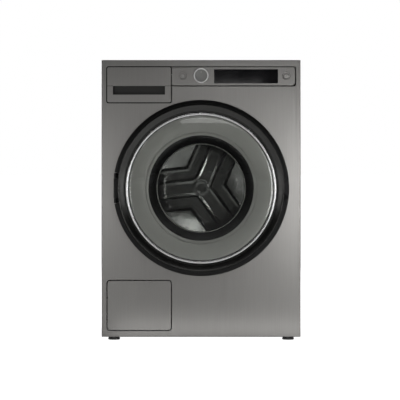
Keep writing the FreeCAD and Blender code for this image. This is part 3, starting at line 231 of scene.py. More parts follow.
# ---------------------------------------------------------------- material helpers
class Look:
    """A principled material and the nodes that give it its grain."""

    def __init__(self, name, colour, roughness, metallic=0.0, coat=0.0):
        self.material = bpy.data.materials.new(name)
        self.material.use_nodes = True
        self.tree = self.material.node_tree
        self.shader = self.tree.nodes["Principled BSDF"]
        self.colour = (*colour, 1)
        self.shader.inputs["Base Color"].default_value = self.colour
        self.shader.inputs["Roughness"].default_value = roughness
        self.shader.inputs["Metallic"].default_value = metallic
        self.shader.inputs["Coat Weight"].default_value = coat
        self.shader.inputs["Coat Roughness"].default_value = 0.08
        self.bumps = None
        self.place = self.tree.nodes.new("ShaderNodeTexCoord").outputs["Object"]

    def link(self, start, end):
        self.tree.links.new(start, end)

    def noise(self, stretch, detail=3.0, rough=0.55):
        """Noise in the part's own frame; stretch gives its cycles per metre along x, y and z."""
        mapping = self.tree.nodes.new("ShaderNodeMapping")
        mapping.inputs["Scale"].default_value = stretch
        texture = self.tree.nodes.new("ShaderNodeTexNoise")
        texture.inputs["Scale"].default_value = 1.0
        texture.inputs["Detail"].default_value = detail
        texture.inputs["Roughness"].default_value = rough
        self.link(self.place, mapping.inputs["Vector"])
        self.link(mapping.outputs[0], texture.inputs["Vector"])
        return texture.outputs["Fac"]

    def spread(self, value, low, high):
        """Spread the middle of a noise over a range."""
        least, most = 0.3, 0.7
        ranged = self.tree.nodes.new("ShaderNodeMapRange")
        ranged.inputs["From Min"].default_value = least
        ranged.inputs["From Max"].default_value = most
        ranged.inputs["To Min"].default_value = low
        ranged.inputs["To Max"].default_value = high
        self.link(value, ranged.inputs["Value"])
        return ranged.outputs[0]

    def tint(self, value, dark, light):
        """Let the colour run between two brightnesses of itself."""
        mix = self.tree.nodes.new("ShaderNodeMix")
        mix.data_type = "RGBA"
        mix.inputs["A"].default_value = [part * dark for part in self.colour[:3]] + [1]
        mix.inputs["B"].default_value = [part * light for part in self.colour[:3]] + [1]
        self.link(self.spread(value, 0.0, 1.0), mix.inputs["Factor"])
        self.link(mix.outputs["Result"], self.shader.inputs["Base Color"])

    def sheen_range(self, value, low, high):
        """Let the roughness run over a range."""
        self.link(self.spread(value, low, high), self.shader.inputs["Roughness"])

    def bump(self, value, distance, strength=0.5):
        """Raise the surface by a noise; several bumps add up."""
        bump = self.tree.nodes.new("ShaderNodeBump")
        bump.inputs["Distance"].default_value = distance
        bump.inputs["Strength"].default_value = strength
        self.link(value, bump.inputs["Height"])
        if self.bumps:
            self.link(self.bumps, bump.inputs["Normal"])
        self.bumps = bump.outputs["Normal"]
        self.link(self.bumps, self.shader.inputs["Normal"])


def brushed(name, colour, roughness, stretch, contrast=0.06, bump=0.00002):
    """Brushed metal: fine and coarse strokes along the least stretched direction."""
    look = Look(name, colour, roughness, metallic=1.0)
    fine = look.noise(stretch, detail=4.0, rough=0.7)
    look.tint(fine, 1 - contrast, 1 + contrast)
    coarse_share = 0.22
    coarse = look.noise([part * coarse_share for part in stretch], detail=2.0)
    look.sheen_range(coarse, roughness - 0.03, roughness + 0.03)
    look.bump(fine, bump, 0.35)
    return look.material


def painted(name, colour, roughness, metallic=0.0, coat=0.0):
    """Sprayed finish with a faint orange peel."""
    look = Look(name, colour, roughness, metallic, coat)
    look.tint(look.noise((9, 9, 9)), 0.96, 1.04)
    look.sheen_range(look.noise((60, 60, 60)), roughness - 0.03, roughness + 0.03)
    look.bump(look.noise((900, 900, 900), detail=1.0), 0.00003, 0.3)
    return look.material


def moulded(name, colour, roughness, grain=0.00004, specular=0.5):
    """Injection moulded plastic with a fine spark texture and slight flow marks."""
    look = Look(name, colour, roughness)
    look.shader.inputs["Specular IOR Level"].default_value = specular
    look.tint(look.noise((14, 5, 14)), 0.95, 1.05)
    grains = look.noise((1600, 1600, 1600), detail=2.0)
    look.sheen_range(grains, roughness - 0.05, roughness + 0.05)
    look.bump(grains, grain, 0.4)
    return look.material


def polished(name, colour, roughness, metallic=0.0, coat=0.0, specular=0.5):
    """Bright or glossy surface with faint wipe marks."""
    look = Look(name, colour, roughness, metallic, coat)
    look.shader.inputs["Specular IOR Level"].default_value = specular
    wipes = look.noise((40, 40, 25), detail=5.0, rough=0.7)
    look.sheen_range(wipes, max(roughness - 0.03, 0.02), roughness + 0.04)
    look.tint(look.noise((6, 6, 6)), 0.97, 1.03)
    return look.material


def rubber(name, colour):
    """Matt rubber with dusty patches."""
    look = Look(name, colour, 0.55)
    look.tint(look.noise((30, 30, 30), detail=5.0), 0.85, 1.2)
    look.bump(look.noise((1100, 1100, 1100), detail=2.0), 0.00005, 0.5)
    look.sheen_range(look.noise((80, 80, 80)), 0.42, 0.6)
    return look.material


def concrete():
    """Cast concrete with pores and stains."""
    look = Look("concrete", (0.5, 0.49, 0.47), 0.9)
    look.tint(look.noise((22, 22, 22), detail=8.0, rough=0.65), 0.72, 1.15)
    look.bump(look.noise((180, 180, 180), detail=6.0, rough=0.7), 0.0008, 0.6)
    return look.material


def cast_metal():
    """Die cast aluminium with a pebbled skin."""
    look = Look("cast_aluminium", (0.6, 0.61, 0.62), 0.42, metallic=1.0)
    look.tint(look.noise((35, 35, 35), detail=5.0), 0.85, 1.1)
    look.bump(look.noise((420, 420, 420), detail=3.0), 0.00015, 0.5)
    look.sheen_range(look.noise((90, 90, 90)), 0.34, 0.5)
    return look.material


def pane(name, tint, refraction):
    """Tinted sheet of glass that mirrors more towards grazing angles, with faint smears."""
    material = bpy.data.materials.new(name)
    material.use_nodes = True
    tree = material.node_tree
    tree.nodes.remove(tree.nodes["Principled BSDF"])
    clear = tree.nodes.new("ShaderNodeBsdfTransparent")
    clear.inputs["Color"].default_value = (*tint, 1)
    gloss = tree.nodes.new("ShaderNodeBsdfGlossy")
    gloss.inputs["Color"].default_value = (1, 1, 1, 1)
    smears = tree.nodes.new("ShaderNodeTexNoise")
    smears.inputs["Scale"].default_value = 12.0
    smears.inputs["Detail"].default_value = 4.0
    place = tree.nodes.new("ShaderNodeTexCoord")
    ranged = tree.nodes.new("ShaderNodeMapRange")
    ranged.inputs["To Max"].default_value = 0.03
    fresnel = tree.nodes.new("ShaderNodeFresnel")
    fresnel.inputs["IOR"].default_value = refraction
    mix = tree.nodes.new("ShaderNodeMixShader")
    link = tree.links.new
    link(place.outputs["Object"], smears.inputs["Vector"])
    link(smears.outputs["Fac"], ranged.inputs["Value"])
    link(ranged.outputs[0], gloss.inputs["Roughness"])
    link(fresnel.outputs[0], mix.inputs["Fac"])
    link(clear.outputs[0], mix.inputs[1])
    link(gloss.outputs[0], mix.inputs[2])
    link(mix.outputs[0], tree.nodes["Material Output"].inputs["Surface"])
    return material


# Brushing of the front: colour, roughness, and strokes per metre along x, y and z.
GRAPHITE = (0.34, 0.332, 0.32)
BRUSHED_ROUGHNESS = 0.36
UPRIGHT_STROKES = (900, 900, 7)


def drawer_face():
    """Brushed face that turns dark just behind the front plane: a dark lining in the handle recess, deepened
    as painted shade, and painted shade on the bevelled edges that darkens the seams round the drawer.
    """
    # Depths behind the front plane over which the face fades to the dark lining and painted seam shade.
    lining_and_shade_start, lining_and_shade_full = FRONT + 0.0002, FRONT + 0.0006
    material = brushed("drawer_face", GRAPHITE, BRUSHED_ROUGHNESS, UPRIGHT_STROKES)
    tree = material.node_tree
    shader = tree.nodes["Principled BSDF"]
    place, split = tree.nodes.new("ShaderNodeTexCoord"), tree.nodes.new("ShaderNodeSeparateXYZ")
    behind = tree.nodes.new("ShaderNodeMapRange")
    behind.inputs["From Min"].default_value = lining_and_shade_start
    behind.inputs["From Max"].default_value = lining_and_shade_full
    tree.links.new(place.outputs["Object"], split.inputs[0])
    tree.links.new(split.outputs["Y"], behind.inputs["Value"])
    lining_and_seam_shade = tree.nodes.new("ShaderNodeMix")
    lining_and_seam_shade.data_type = "RGBA"
    # Near-black of the recess lining and of the painted shade on the bevelled edges and in the seams.
    lining_and_seam_shade.inputs["B"].default_value = (0.06, 0.06, 0.058, 1)
    tree.links.new(shader.inputs["Base Color"].links[0].from_socket, lining_and_seam_shade.inputs["A"])
    tree.links.new(behind.outputs[0], lining_and_seam_shade.inputs["Factor"])
    tree.links.new(lining_and_seam_shade.outputs["Result"], shader.inputs["Base Color"])
    return material


LOOKS = {
    "graphite_steel": brushed("graphite_steel", GRAPHITE, BRUSHED_ROUGHNESS, UPRIGHT_STROKES),
    "graphite_paint": painted("graphite_paint", (0.2, 0.197, 0.19), 0.42, metallic=0.55),
    "galvanised": brushed("galvanised", (0.55, 0.56, 0.57), 0.5, (35, 35, 35), 0.16, 0.00004),
    "black_gloss": polished("black_gloss", (0.012, 0.012, 0.013), 0.16, coat=0.4),
    "black_plastic": moulded("black_plastic", (0.03, 0.03, 0.032), 0.5),
    "dark_rim": polished("dark_rim", (0.012, 0.012, 0.012), 0.35, specular=0.3),
    "surround_black": polished("surround_black", (0.008, 0.008, 0.008), 0.42, specular=0.22),
    # Near-black with hardly any gloss, for the housings seen through the gaps round the drawer and the
    # service flap: painted shade in those seams.
    "seam_shade_black": moulded("seam_shade_black", (0.003, 0.003, 0.003), 0.8, specular=0.08),
    "rim_metal": polished("rim_metal", (0.066, 0.066, 0.064), 0.24, metallic=1.0),
    "bright_ring": polished("bright_ring", (0.95, 0.95, 0.94), 0.3, metallic=0.15),
    "chrome": polished("chrome", (0.74, 0.74, 0.74), 0.25, metallic=1.0),
    "satin_trim": brushed("satin_trim", (0.42, 0.422, 0.405), 0.42, (500, 500, 60), 0.05),
    "knob_face": brushed("knob_face", (0.3, 0.3, 0.29), 0.34, (700, 300, 700), 0.04),
    "stainless": brushed("stainless", (0.62, 0.62, 0.62), 0.24, (60, 400, 60), 0.05),
    "drum_steel": polished("drum_steel", (0.55, 0.55, 0.55), 0.15, metallic=1.0),
    "spring_steel": painted("spring_steel", (0.3, 0.3, 0.31), 0.35, metallic=1.0),
    "cast_aluminium": cast_metal(),
    "concrete": concrete(),
    "display_glass": polished("display_glass", (0.004, 0.004, 0.005), 0.08, coat=0.6),
    "grey_rubber": rubber("grey_rubber", (0.12, 0.12, 0.125)),
    "black_rubber": rubber("black_rubber", (0.06, 0.06, 0.06)),
    "tub_plastic": moulded("tub_plastic", (0.62, 0.63, 0.64), 0.5),
    "white_plastic": moulded("white_plastic", (0.78, 0.78, 0.77), 0.42),
    "grey_plastic": moulded("grey_plastic", (0.36, 0.37, 0.38), 0.48),
    "motor_paint": painted("motor_paint", (0.08, 0.08, 0.085), 0.4),
    "print": painted("print", (0.62, 0.62, 0.6), 0.5),
    "smoked_glass": pane("smoked_glass", (0.9, 0.905, 0.895), 1.5),
    "clear_glass": pane("clear_glass", (0.9, 0.905, 0.9), 1.28),
    "drawer_face": drawer_face(),
}


# ---------------------------------------------------------------- pieces that stay CAD
# Name, look and width of the soft edge in millimetres.
KEPT = [
    ("front_panel", "graphite_steel", 0.5), ("left_side_panel", "graphite_paint", 0.3),
    ("right_side_panel", "graphite_paint", 0.3), ("top_cover", "graphite_paint", 0.3),
    ("rear_panel", "galvanised", 0.25), ("base_tray", "grey_plastic", 0.6),
    ("control_panel", "graphite_steel", 0.4), ("display_glass", "display_glass", 0.4),
    # The dispenser housing and the hatch frame take the near-black of the painted seam shade.
    ("electronics_box", "grey_plastic", 0.8), ("dispenser_housing", "seam_shade_black", 0.5),
    ("drawer_tray", "white_plastic", 0.8), ("drawer_front", "drawer_face", 0.5),
    ("inlet_valve", "white_plastic", 0.6), ("door_lock", "black_plastic", 0.6),
    ("door_back_frame", "surround_black", 0.6), ("latch_hook", "stainless", 0.4),
    ("tub_front", "tub_plastic", 0.8), ("tub_rear", "tub_plastic", 0.8),
    ("heating_element", "stainless", 0.0), ("front_counterweights", "concrete", 2.0),
    ("top_counterweight", "concrete", 2.0), ("motor", "motor_paint", 0.8),
    ("motor_pulley", "stainless", 0.3), ("drive_belt", "black_rubber", 0.4),
    ("drum_bearings", "stainless", 0.5), ("drum_paddles", "grey_plastic", 2.5),
    ("drum_spider", "cast_aluminium", 1.0), ("drum_pulley", "cast_aluminium", 0.8),
    ("damper_cylinders", "grey_plastic", 0.8), ("damper_rods", "stainless", 0.3),
    ("drain_pump", "white_plastic", 0.6), ("pump_impeller", "black_plastic", 0.5),
    ("pump_filter", "black_plastic", 0.8), ("hatch_frame", "seam_shade_black", 0.3),
    ("service_flap", "graphite_steel", 0.7), ("drain_outlet", "grey_plastic", 0.3),
    ("mains_inlet", "black_plastic", 0.4),
]
for node_name, look_name, edge_width in KEPT:
    refine(node_name, look_name, edge_width)


# ---------------------------------------------------------------- door
def surround_shape(radius, y, angle):
    """Flatten the surround at the finger scoop on the right."""
    scoop_x, scoop_radius, soft_edge, floor = 280, 46, 14, -4
    away = math.hypot(radius * math.cos(angle) - scoop_x, radius * math.sin(angle))
    if away < scoop_radius and y < floor:
        share = min(1.0, (scoop_radius - away) / soft_edge)
        y += (floor - y) * share * share * (3 - 2 * share)
    return radius, y


def door_surround():
    """Fixed ring round the door, open at the hinge."""
    outline = softened([(250.6, 0), (250.6, -15), (251.6, -15.4), (256, -14.8), (261, -11.5), (264.4, -6),
                        (265.3, -2), (265.3, 0)], 1.5, True)
    gap_reach, gap_radius = 46, 258
    half_gap = math.asin(gap_reach / gap_radius)
    start, end = math.pi + half_gap, 3 * math.pi - half_gap
    count = len(outline)
    vertices, faces = [], []
    for turn in range(TURNS + 1):
        angle = start + (end - start) * turn / TURNS
        for radius, y in outline:
            radius, y = surround_shape(radius, y, angle)
            vertices.append((AXIS_X + radius * MM * math.cos(angle), FRONT + y * MM,
                             AXIS_Z + radius * MM * math.sin(angle)))
    for turn in range(TURNS):
        for index in range(count):
            ahead = (index + 1) % count
            faces.append((turn * count + index, turn * count + ahead, (turn + 1) * count + ahead,
                          (turn + 1) * count + index))
    faces.append(tuple(range(count)))
    faces.append(tuple(range(TURNS * count, (TURNS + 1) * count)))
    ring = piece("surround", vertices, faces, "surround_black")
    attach(ring, "cabinet")
    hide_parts("door_surround")


def door():
    """The door's turned pieces: dark rim, chrome ring, outer glass, trim, mask, window bead and bowl."""
    rim = turned("rim", [
        (228, -2.5), (228, -30.6), (231.6, -30.6), (232.2, -35.2), (241.4, -40.5), (244.4, -42.2),
        (246.8, -43.4), (248.8, -43.8), (249.5, -43.1), (249.5, -4.5), (248, -2.5), (246.5, -2.5),
        (246.5, -40), (243, -38), (237, -33), (233, -28), (231, -28), (231, -2.5),
    ], "rim_metal", rounding=0.5)
    chrome = turned("chrome_ring", [
        (217.6, -28), (217.6, -31.8), (218.4, -34.1), (220.3, -35.8), (222.7, -36.3),
        (225.2, -35.8), (227.1, -34.1), (227.9, -31.8), (227.9, -28),
    ], "chrome", rounding=1.2)
    glass = turned("outer_glass", [
        (0, -35.6), (100, -35.6), (170, -35.5), (212, -35.3), (216, -34.6), (217.3, -32.6),
        (217.3, -29.9), (212, -30.4), (170, -31.2), (100, -31.5), (0, -31.6),
    ], "smoked_glass", rounding=3, closed=False)
    trim = turned("trim_plate", [
        (158.2, -24.1), (165.6, -24.9), (166.6, -24.2), (168.2, -24.3), (168.8, -25),
        (217, -29.4), (217, -28.2), (158.2, -22.8),
    ], "satin_trim", rounding=0.2)
    mask = turned("mask_ring", [
        (134, -16), (157.8, -26.4), (157.8, -22), (148, -17.5), (144.5, -14.2), (134, -14.2),
    ], "black_gloss", rounding=0.8)
    bead = turned("window_bead", [
        (131, -13.2), (131, -15.6), (132, -16.8), (133.2, -16.8), (134.2, -16), (134.2, -13.2),
    ], "satin_trim", rounding=0.9)
    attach(bead, "door")
    bowl = turned("bowl", [
        (0, 67.6), (50, 67), (88, 65), (112, 61.5), (124, 56), (131, 48), (134.8, 38),
        (140.6, 12), (142.8, -2), (144, -14), (165, -14), (165, -8), (150, -8), (148, 0),
        (145.8, 14), (140, 40), (136, 51), (129, 60), (116, 66.5), (90, 70), (50, 72), (0, 72.6),
    ], "clear_glass", rounding=9, closed=False)
    for item, node in ((rim, "door_rim"), (chrome, "door_chrome_ring"), (glass, "door_glass"),
                       (trim, "door_trim_plate"), (mask, "door_mask_ring"), (bowl, "door_bowl")):
        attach(item, "door")
        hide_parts(node)


def hinge():
    """Hinge bracket: a foot curved like the surround, two rounded ears and the pin."""
    pin_x, pin_y, pin_reach = -257, FRONT / MM - 14, 44
    foot_radius, foot_width, foot_top, foot_base = 0.2562, 0.0124, FRONT - 0.003, FRONT - 0.0001
    ear_radius, ear_base, ear_right, ear_left, ear_height = 5, FRONT / MM - 2, -252.5, -260.5, 0.015
    vertices, faces = [], []
    foot_start, foot_end = 170, 190
    foot_shape = arc_band(AXIS_X, AXIS_Z, foot_radius, foot_width, foot_start, foot_end)
    add_prism(vertices, faces, [(x, foot_top, z) for x, z in foot_shape],
              [(x, foot_base, z) for x, z in foot_shape])
    ear = [(ear_right, ear_base)]
    steps = 16
    for step in range(steps + 1):
        angle = -math.pi * step / steps
        ear.append((pin_x + ear_radius * math.cos(angle), pin_y + ear_radius * math.sin(angle)))
    ear.append((ear_left, ear_base))
    for low in (-0.045, 0.03):
        add_prism(vertices, faces, [(x * MM, y * MM, AXIS_Z + low) for x, y in ear],
                  [(x * MM, y * MM, AXIS_Z + low + ear_height) for x, y in ear])
    bracket = piece("hinge_bracket", vertices, faces, "surround_black")
    bevel = bracket.modifiers.new("soft_edges", "BEVEL")
    bevel.width = 0.0005
    bevel.segments = 2
    bevel.limit_method = "ANGLE"
    base = AXIS_Z / MM
    pin = upright("hinge_pin", [
        (0, base - pin_reach), (3.3, base - pin_reach), (4, base - pin_reach + 0.7),
        (4, base + pin_reach - 0.7), (3.3, base + pin_reach), (0, base + pin_reach),
    ], "motor_paint", pin_x * MM, pin_y * MM, turns=48)
    for item in (bracket, pin):
        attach(item, "cabinet")
    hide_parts("door_hinge")


def gasket():
    """Rubber bellows between the porthole and the tub."""
    bellows = turned("gasket", [
        (148.5, 10.5), (162, 9), (165, 1.5), (170.3, 1.5), (170.3, 15), (176, 15), (176.5, 19.5), (184, 24),
        (185.5, 29), (184, 34), (170.5, 40), (167.3, 46), (167.3, 60), (163.3, 60), (163.3, 45), (167, 37),
        (180.5, 31.5), (181.5, 29), (180, 26.5), (172, 22), (165, 19), (163, 13.5), (148.5, 13.5),
    ], "grey_rubber", rounding=2.0)
    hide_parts("door_gasket")
    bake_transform(bellows)


def bellows_hose(name, node, x, y, low, high, waves):
    """Corrugated rubber hose."""
    bore, valley, crest, stiff_end = 16.2, 17.6, 20, 5
    step = (high - low) / (2 * waves)
    outline = [(bore, high), (bore, low)]
    outline += [(crest if count % 2 else valley, low + count * step) for count in range(2 * waves + 1)]
    hose = upright(name, outline + outline[:1], "black_rubber", x * MM, y * MM, rounding=0.8, turns=48)
    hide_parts(node)
    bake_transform(hose)


def springs():
    """Coil springs round the dampers, standing on the base and carrying the tub."""
    wire, coil, low, high, pitch, sides, steps = 3.2, 23, 54, 232, 29, 10, 32
    count = round((high - low) / pitch * steps)
    vertices, faces = [], []
    places = ((-175, -90), (-175, 110), (175, -90), (175, 110))
    for x, y in places:
        first = len(vertices)
        for index in range(count + 1):
            angle = 2 * math.pi * index / steps
            middle = low + (high - low) * index / count
            for side in range(sides):
                around = 2 * math.pi * side / sides
                radius = coil + wire * math.cos(around)
                vertices.append(((x + radius * math.cos(angle)) * MM, (y + radius * math.sin(angle)) * MM,
                                 (middle + wire * math.sin(around)) * MM))
        for index in range(count):
            for side in range(sides):
                here, ahead = first + index * sides, (side + 1) % sides
                faces.append((here + side, here + ahead, here + sides + ahead, here + sides + side))
        faces.append(tuple(range(first, first + sides)))
        faces.append(tuple(range(len(vertices) - sides, len(vertices))))
    coils = piece("coil_springs", vertices, faces, "spring_steel")
    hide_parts("suspension_springs")
    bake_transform(coils)


door_surround()
door()
hinge()
gasket()
bellows_hose("fill_bellows", "dispenser_hose", x=-190, y=-150, low=656, high=721.7, waves=8)
bellows_hose("sump_bellows", "sump_hose", x=-187, y=-185, low=138.8, high=260, waves=15)
springs()


# ---------------------------------------------------------------- drum
def drum_mouth():
    """Front wall of the drum with its rolled lip and a raised bead."""
    return turned("drum_mouth", [
        (236.4, -186), (233, -188.8), (214, -188.8), (209, -191.3), (204, -188.8), (163, -188.8),
        (161, -192), (159, -193.5), (157, -192), (157, -184), (155, -184), (155, -193), (157, -195),
        (160, -195), (163, -193), (164, -190), (204, -190), (209, -192.6), (214, -190), (234, -190),
        (238.6, -186),
    ], "drum_steel", origin=0.0, rounding=1.2)


def drum_wall():
    """Perforated cylinder: every second tile of a chequered grid holds a round hole."""
    # Tiles round and along the drum, then its outer radius, its sheet, its two ends and a hole's radius.
    around, deep, outer, thick = 96, 20, 239.2, 1.2
    start, end, hole = -186.0, 149.0, 2.4
    length = (end - start) / deep
    width = 2 * math.pi * outer / around
    vertices, faces, known = [], [], {}

    def vertex(column, row, layer):
        """The point at a fractional column and row, on the outer or the inner face."""
        key = (round(column % around, 4), round(row, 4), layer)
        if key not in known:
            angle = 2 * math.pi * column / around
            radius = outer - thick * layer
            known[key] = len(vertices)
            vertices.append((AXIS_X + radius * MM * math.cos(angle), (start + row * length) * MM,
                             AXIS_Z + radius * MM * math.sin(angle)))
        return known[key]

    # Corners and side middles of a tile.
    edge = [(0, 0), (0.5, 0), (1, 0), (1, 0.5), (1, 1), (0.5, 1), (0, 1), (0, 0.5)]
    for column in range(around):
        for row in range(deep):
            outline = [[vertex(column + u, row + v, layer) for u, v in edge] for layer in (0, 1)]
            if (column + row) % 2:
                faces += [tuple(outline[0]), tuple(outline[1][::-1])]
                continue
            circle = [[], []]
            for u, v in edge:
                turn = math.atan2((v - 0.5) * length, (u - 0.5) * width)
                across = column + 0.5 + hole * math.cos(turn) / width
                along = row + 0.5 + hole * math.sin(turn) / length
                for layer in (0, 1):
                    circle[layer].append(vertex(across, along, layer))
            for index in range(len(edge)):
                ahead = (index + 1) % len(edge)
                for layer in (0, 1):
                    faces.append((outline[layer][index], outline[layer][ahead], circle[layer][ahead],
                                  circle[layer][index]))
                faces.append((circle[0][index], circle[0][ahead], circle[1][ahead], circle[1][index]))
    for row in (0, deep):
        for half in range(2 * around):
            here, ahead = half / 2, half / 2 + 0.5
            corners = ((here, 0), (ahead, 0), (ahead, 1), (here, 1))
            faces.append(tuple(vertex(spot, row, layer) for spot, layer in corners))
    return piece("drum_wall", vertices, faces, "stainless")


def back_height(radius, across):
    """How far the drum's back stands forward of its rear plane, in millimetres."""
    def rise(value, start, end):
        """A smooth step from 0 at the start to 1 at the end."""
        share = min(1.0, max(0.0, (value - start) / (end - start)))
        return share * share * (3 - 2 * share)

    side = abs(across)
    base, boss_top, rim_top = 4.0, 10.0, 6.0
    # Above the base: the arm and the flat band beside it, each with a low ridge along its edge.
    arm = 6.0 + 0.8 * min(1.0, max(0.0, (side - 15) / 6))
    band = 4.0 + 0.45 * min(1.0, max(0.0, (side - 54.5) / 6))
    inner, lobe = rise(side, 22.5, 31), rise(side, 62, 71)
    # Above the rear plane: the field between two arms, deepest towards the middle.
    dish = 1.0 + 12.5 * rise(radius, 70, 196)
    height = (base + arm * (1 - inner) + band * inner) * (1 - lobe) + dish * lobe
    # The round boss in the middle with a ring raised on it.
    boss = rise(radius, 36, 27)
    height = height * (1 - boss) + boss_top * boss
    ring_height, ring_radius, ring_width = 0.9, 19.6, 2.4
    height += ring_height * math.exp(-((radius - ring_radius) / ring_width) ** 2)
    rim = rise(radius, 205, 232)
    return height * (1 - rim) + rim_top * rim


def drum_back():
    """Pressed rear wall: three arms with ridged edges, flat bands beside them and dished fields between."""
    rear, reach, along, half_field = 149.0, 237.4, 56, math.radians(60)
    # Lines beside an arm's middle: start, end and spacing, close together where the wall bends.
    spacings = ((0, 14, 3.5), (14, 32, 1.0), (32, 53, 3), (53, 72, 1.0), (72, 204, 5))
    lines = set()
    for low, high, step in spacings:
        value = float(low)
        while value < high:
            lines.add(round(value, 3))
            value += step
    lines = sorted(lines | {reach * math.sin(half_field)})
    lines = [-value for value in lines[:0:-1]] + lines
    vertices, faces = [], []
    for angle in ARM_ANGLES:
        first = len(vertices)
        turn = math.radians(angle)
        for across in lines:
            near = abs(across) / math.tan(half_field)
            far = math.sqrt(max(reach ** 2 - across ** 2, near ** 2))
            for step in range(along + 1):
                ahead = near + (far - near) * step / along
                radius = math.hypot(ahead, across)
                x = ahead * math.cos(turn) - across * math.sin(turn)
                z = ahead * math.sin(turn) + across * math.cos(turn)
                y = rear - back_height(radius, across)
                vertices.append((AXIS_X + x * MM, y * MM, AXIS_Z + z * MM))
        for line in range(len(lines) - 1):
            for step in range(along):
                corner = first + line * (along + 1) + step
                faces.append((corner, corner + 1, corner + along + 2, corner + along + 1))
    return piece("drum_back_wall", vertices, faces, "drum_steel", crease=60)


mouth, wall, back = drum_mouth(), drum_wall(), drum_back()
for item in (mouth, wall, back):
    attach(item, "drum")
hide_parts("drum_shell")
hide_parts("drum_back")


# ---------------------------------------------------------------- controls
def knob():
    """Program knob: brushed face with ring-shaped grooves, a pointer and the bright ring."""
    x, z = 0.0, (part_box("knob_ring")[0].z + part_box("knob_ring")[1].z) / 2
    body = turned("knob", [
        (0, -11.8), (6.2, -11.8), (6.7, -11.2), (7.3, -11.2), (7.8, -11.9), (12.2, -12.1),
        (12.7, -11.4), (13.3, -11.4), (13.8, -12.2), (16.6, -12.3), (17.2, -11.6), (17.6, -9.4),
        (19.1, -9.4), (19.1, -9), (22, -9), (22, -0.6), (3, -0.6), (3, 19), (0, 19),
    ], "knob_face", x, z, rounding=0.3, closed=False, turns=128)
    ring = turned("knob_bright_ring", [
        (18.6, -9.2), (18.6, -13), (19.2, -14), (20.1, -14), (22.5, -10.7), (22.5, -9.2),
    ], "bright_ring", x, z, rounding=0.4, turns=128)
    left, right, bottom, top = x - 0.0006, x + 0.0006, z + 0.0075, z + 0.0135
    stroke = [(left, bottom), (right, bottom), (right, top), (left, top)]
    pointer = plate("knob_pointer", [stroke], "print", FRONT - 0.01225, FRONT - 0.0117)
    for item in (body, ring, pointer):
        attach(item, "knob")
    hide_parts("program_knob")
    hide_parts("knob_ring")


def push_button(node, mark):
    """Dished button with a groove round its middle and a plain raised mark."""
    low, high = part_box(node)
    x, z = (low.x + high.x) / 2, (low.z + high.z) / 2
    body = turned(node + "_cap", [
        (0, -0.2), (6.6, -0.2), (7.4, 0.7), (8.4, 0.7), (9.2, -0.3), (11.4, -0.5),
        (12.4, 0.5), (12.4, 3), (3, 3), (3, 14), (0, 14),
    ], "graphite_steel", x, z, rounding=0.3, closed=False, turns=96)
    symbol = plate(node + "_mark", mark(x, z), "print", FRONT - 0.00035, FRONT - 0.0001)
    for item in (body, symbol):
        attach(item, node)
    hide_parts(node)


def power_mark(x, z):
    """An open ring with a bar at its gap; the ring's ends are angles in degrees."""
    ring_radius, ring_stroke, ring_start, ring_end = 0.0025, 0.0006, 125, 415
    left, right, bottom, top = x - 0.0003, x + 0.0003, z + 0.0005, z + 0.0032
    bar = [(left, bottom), (right, bottom), (right, top), (left, top)]
    return [arc_band(x, z, ring_radius, ring_stroke, ring_start, ring_end), bar]


def start_mark(x, z):
    """A triangle and two bars."""
    bottom, top, width = z - 0.0019, z + 0.0019, 0.0007
    marks = [[(x - 0.0034, bottom), (x - 0.0002, z), (x - 0.0034, top)]]
    for left in (x + 0.0012, x + 0.0026):
        marks.append([(left, bottom), (left + width, bottom), (left + width, top), (left, top)])
    return marks


knob()
push_button("power_button", power_mark)
push_button("start_button", start_mark)


# ---------------------------------------------------------------- feet and rear
def foot(node):
    """Rubber pad with a lip, a hexagon for the spanner and a threaded spindle."""
    low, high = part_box(node)
    x, y = (low.x + high.x) / 2, (low.y + high.y) / 2

    def pad_shape(radius, height, angle):
        """Fine grip ribs round the pad."""
        rib_depth, rib_count, plain_radius, plain_height = 0.35, 36, 16.9, 1.5
        if radius <= plain_radius or height <= plain_height:
            return radius
        return radius - rib_depth * (0.5 + 0.5 * math.cos(rib_count * angle))

    pad = upright(node + "_pad", [
        (0, 0), (16.4, 0), (17.8, 1.2), (18, 3.2), (17.6, 6.4), (16.4, 7.2), (0, 7.2),
    ], "black_rubber", x, y, turns=288, shape=pad_shape)

    def nut_shape(radius, height, angle):
        """A hexagon outside the spindle."""
        spindle_radius, half_side = 8, math.pi / 6
        if radius < spindle_radius:
            return radius
        return radius * math.cos(half_side) / math.cos((angle + half_side) % (2 * half_side) - half_side)

    nut = upright(node + "_nut", [
        (0, 7.2), (11, 7.2), (11.4, 7.6), (11.4, 9.7), (11, 10), (0, 10),
    ], "stainless", x, y, turns=96, shape=nut_shape)
    root, crest, start, pitch, windings = 4.3, 4.95, 10, 1.5, 24
    thread = [(0, 9.8)]
    for winding in range(windings):
        thread += [(root, start + winding * pitch), (crest, start + pitch / 2 + winding * pitch)]
    thread += [(root, 46.5), (0, 47.5)]
    spindle = upright(node + "_spindle", thread, "stainless", x, y, rounding=0.15, turns=48)
    for item in (pad, nut, spindle):
        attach(item, node)
    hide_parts(node)


def screw_recess(radius, y, angle):
    """Sink a cross into a screw's head."""
    arm_width, arm_length, head_base, depth = 0.45, 2.3, 0.5, 1.3
    from_arm = min(abs(math.sin(angle)), abs(math.cos(angle))) * radius
    if from_arm < arm_width and radius < arm_length and y > head_base:
        y -= depth
    return radius, y


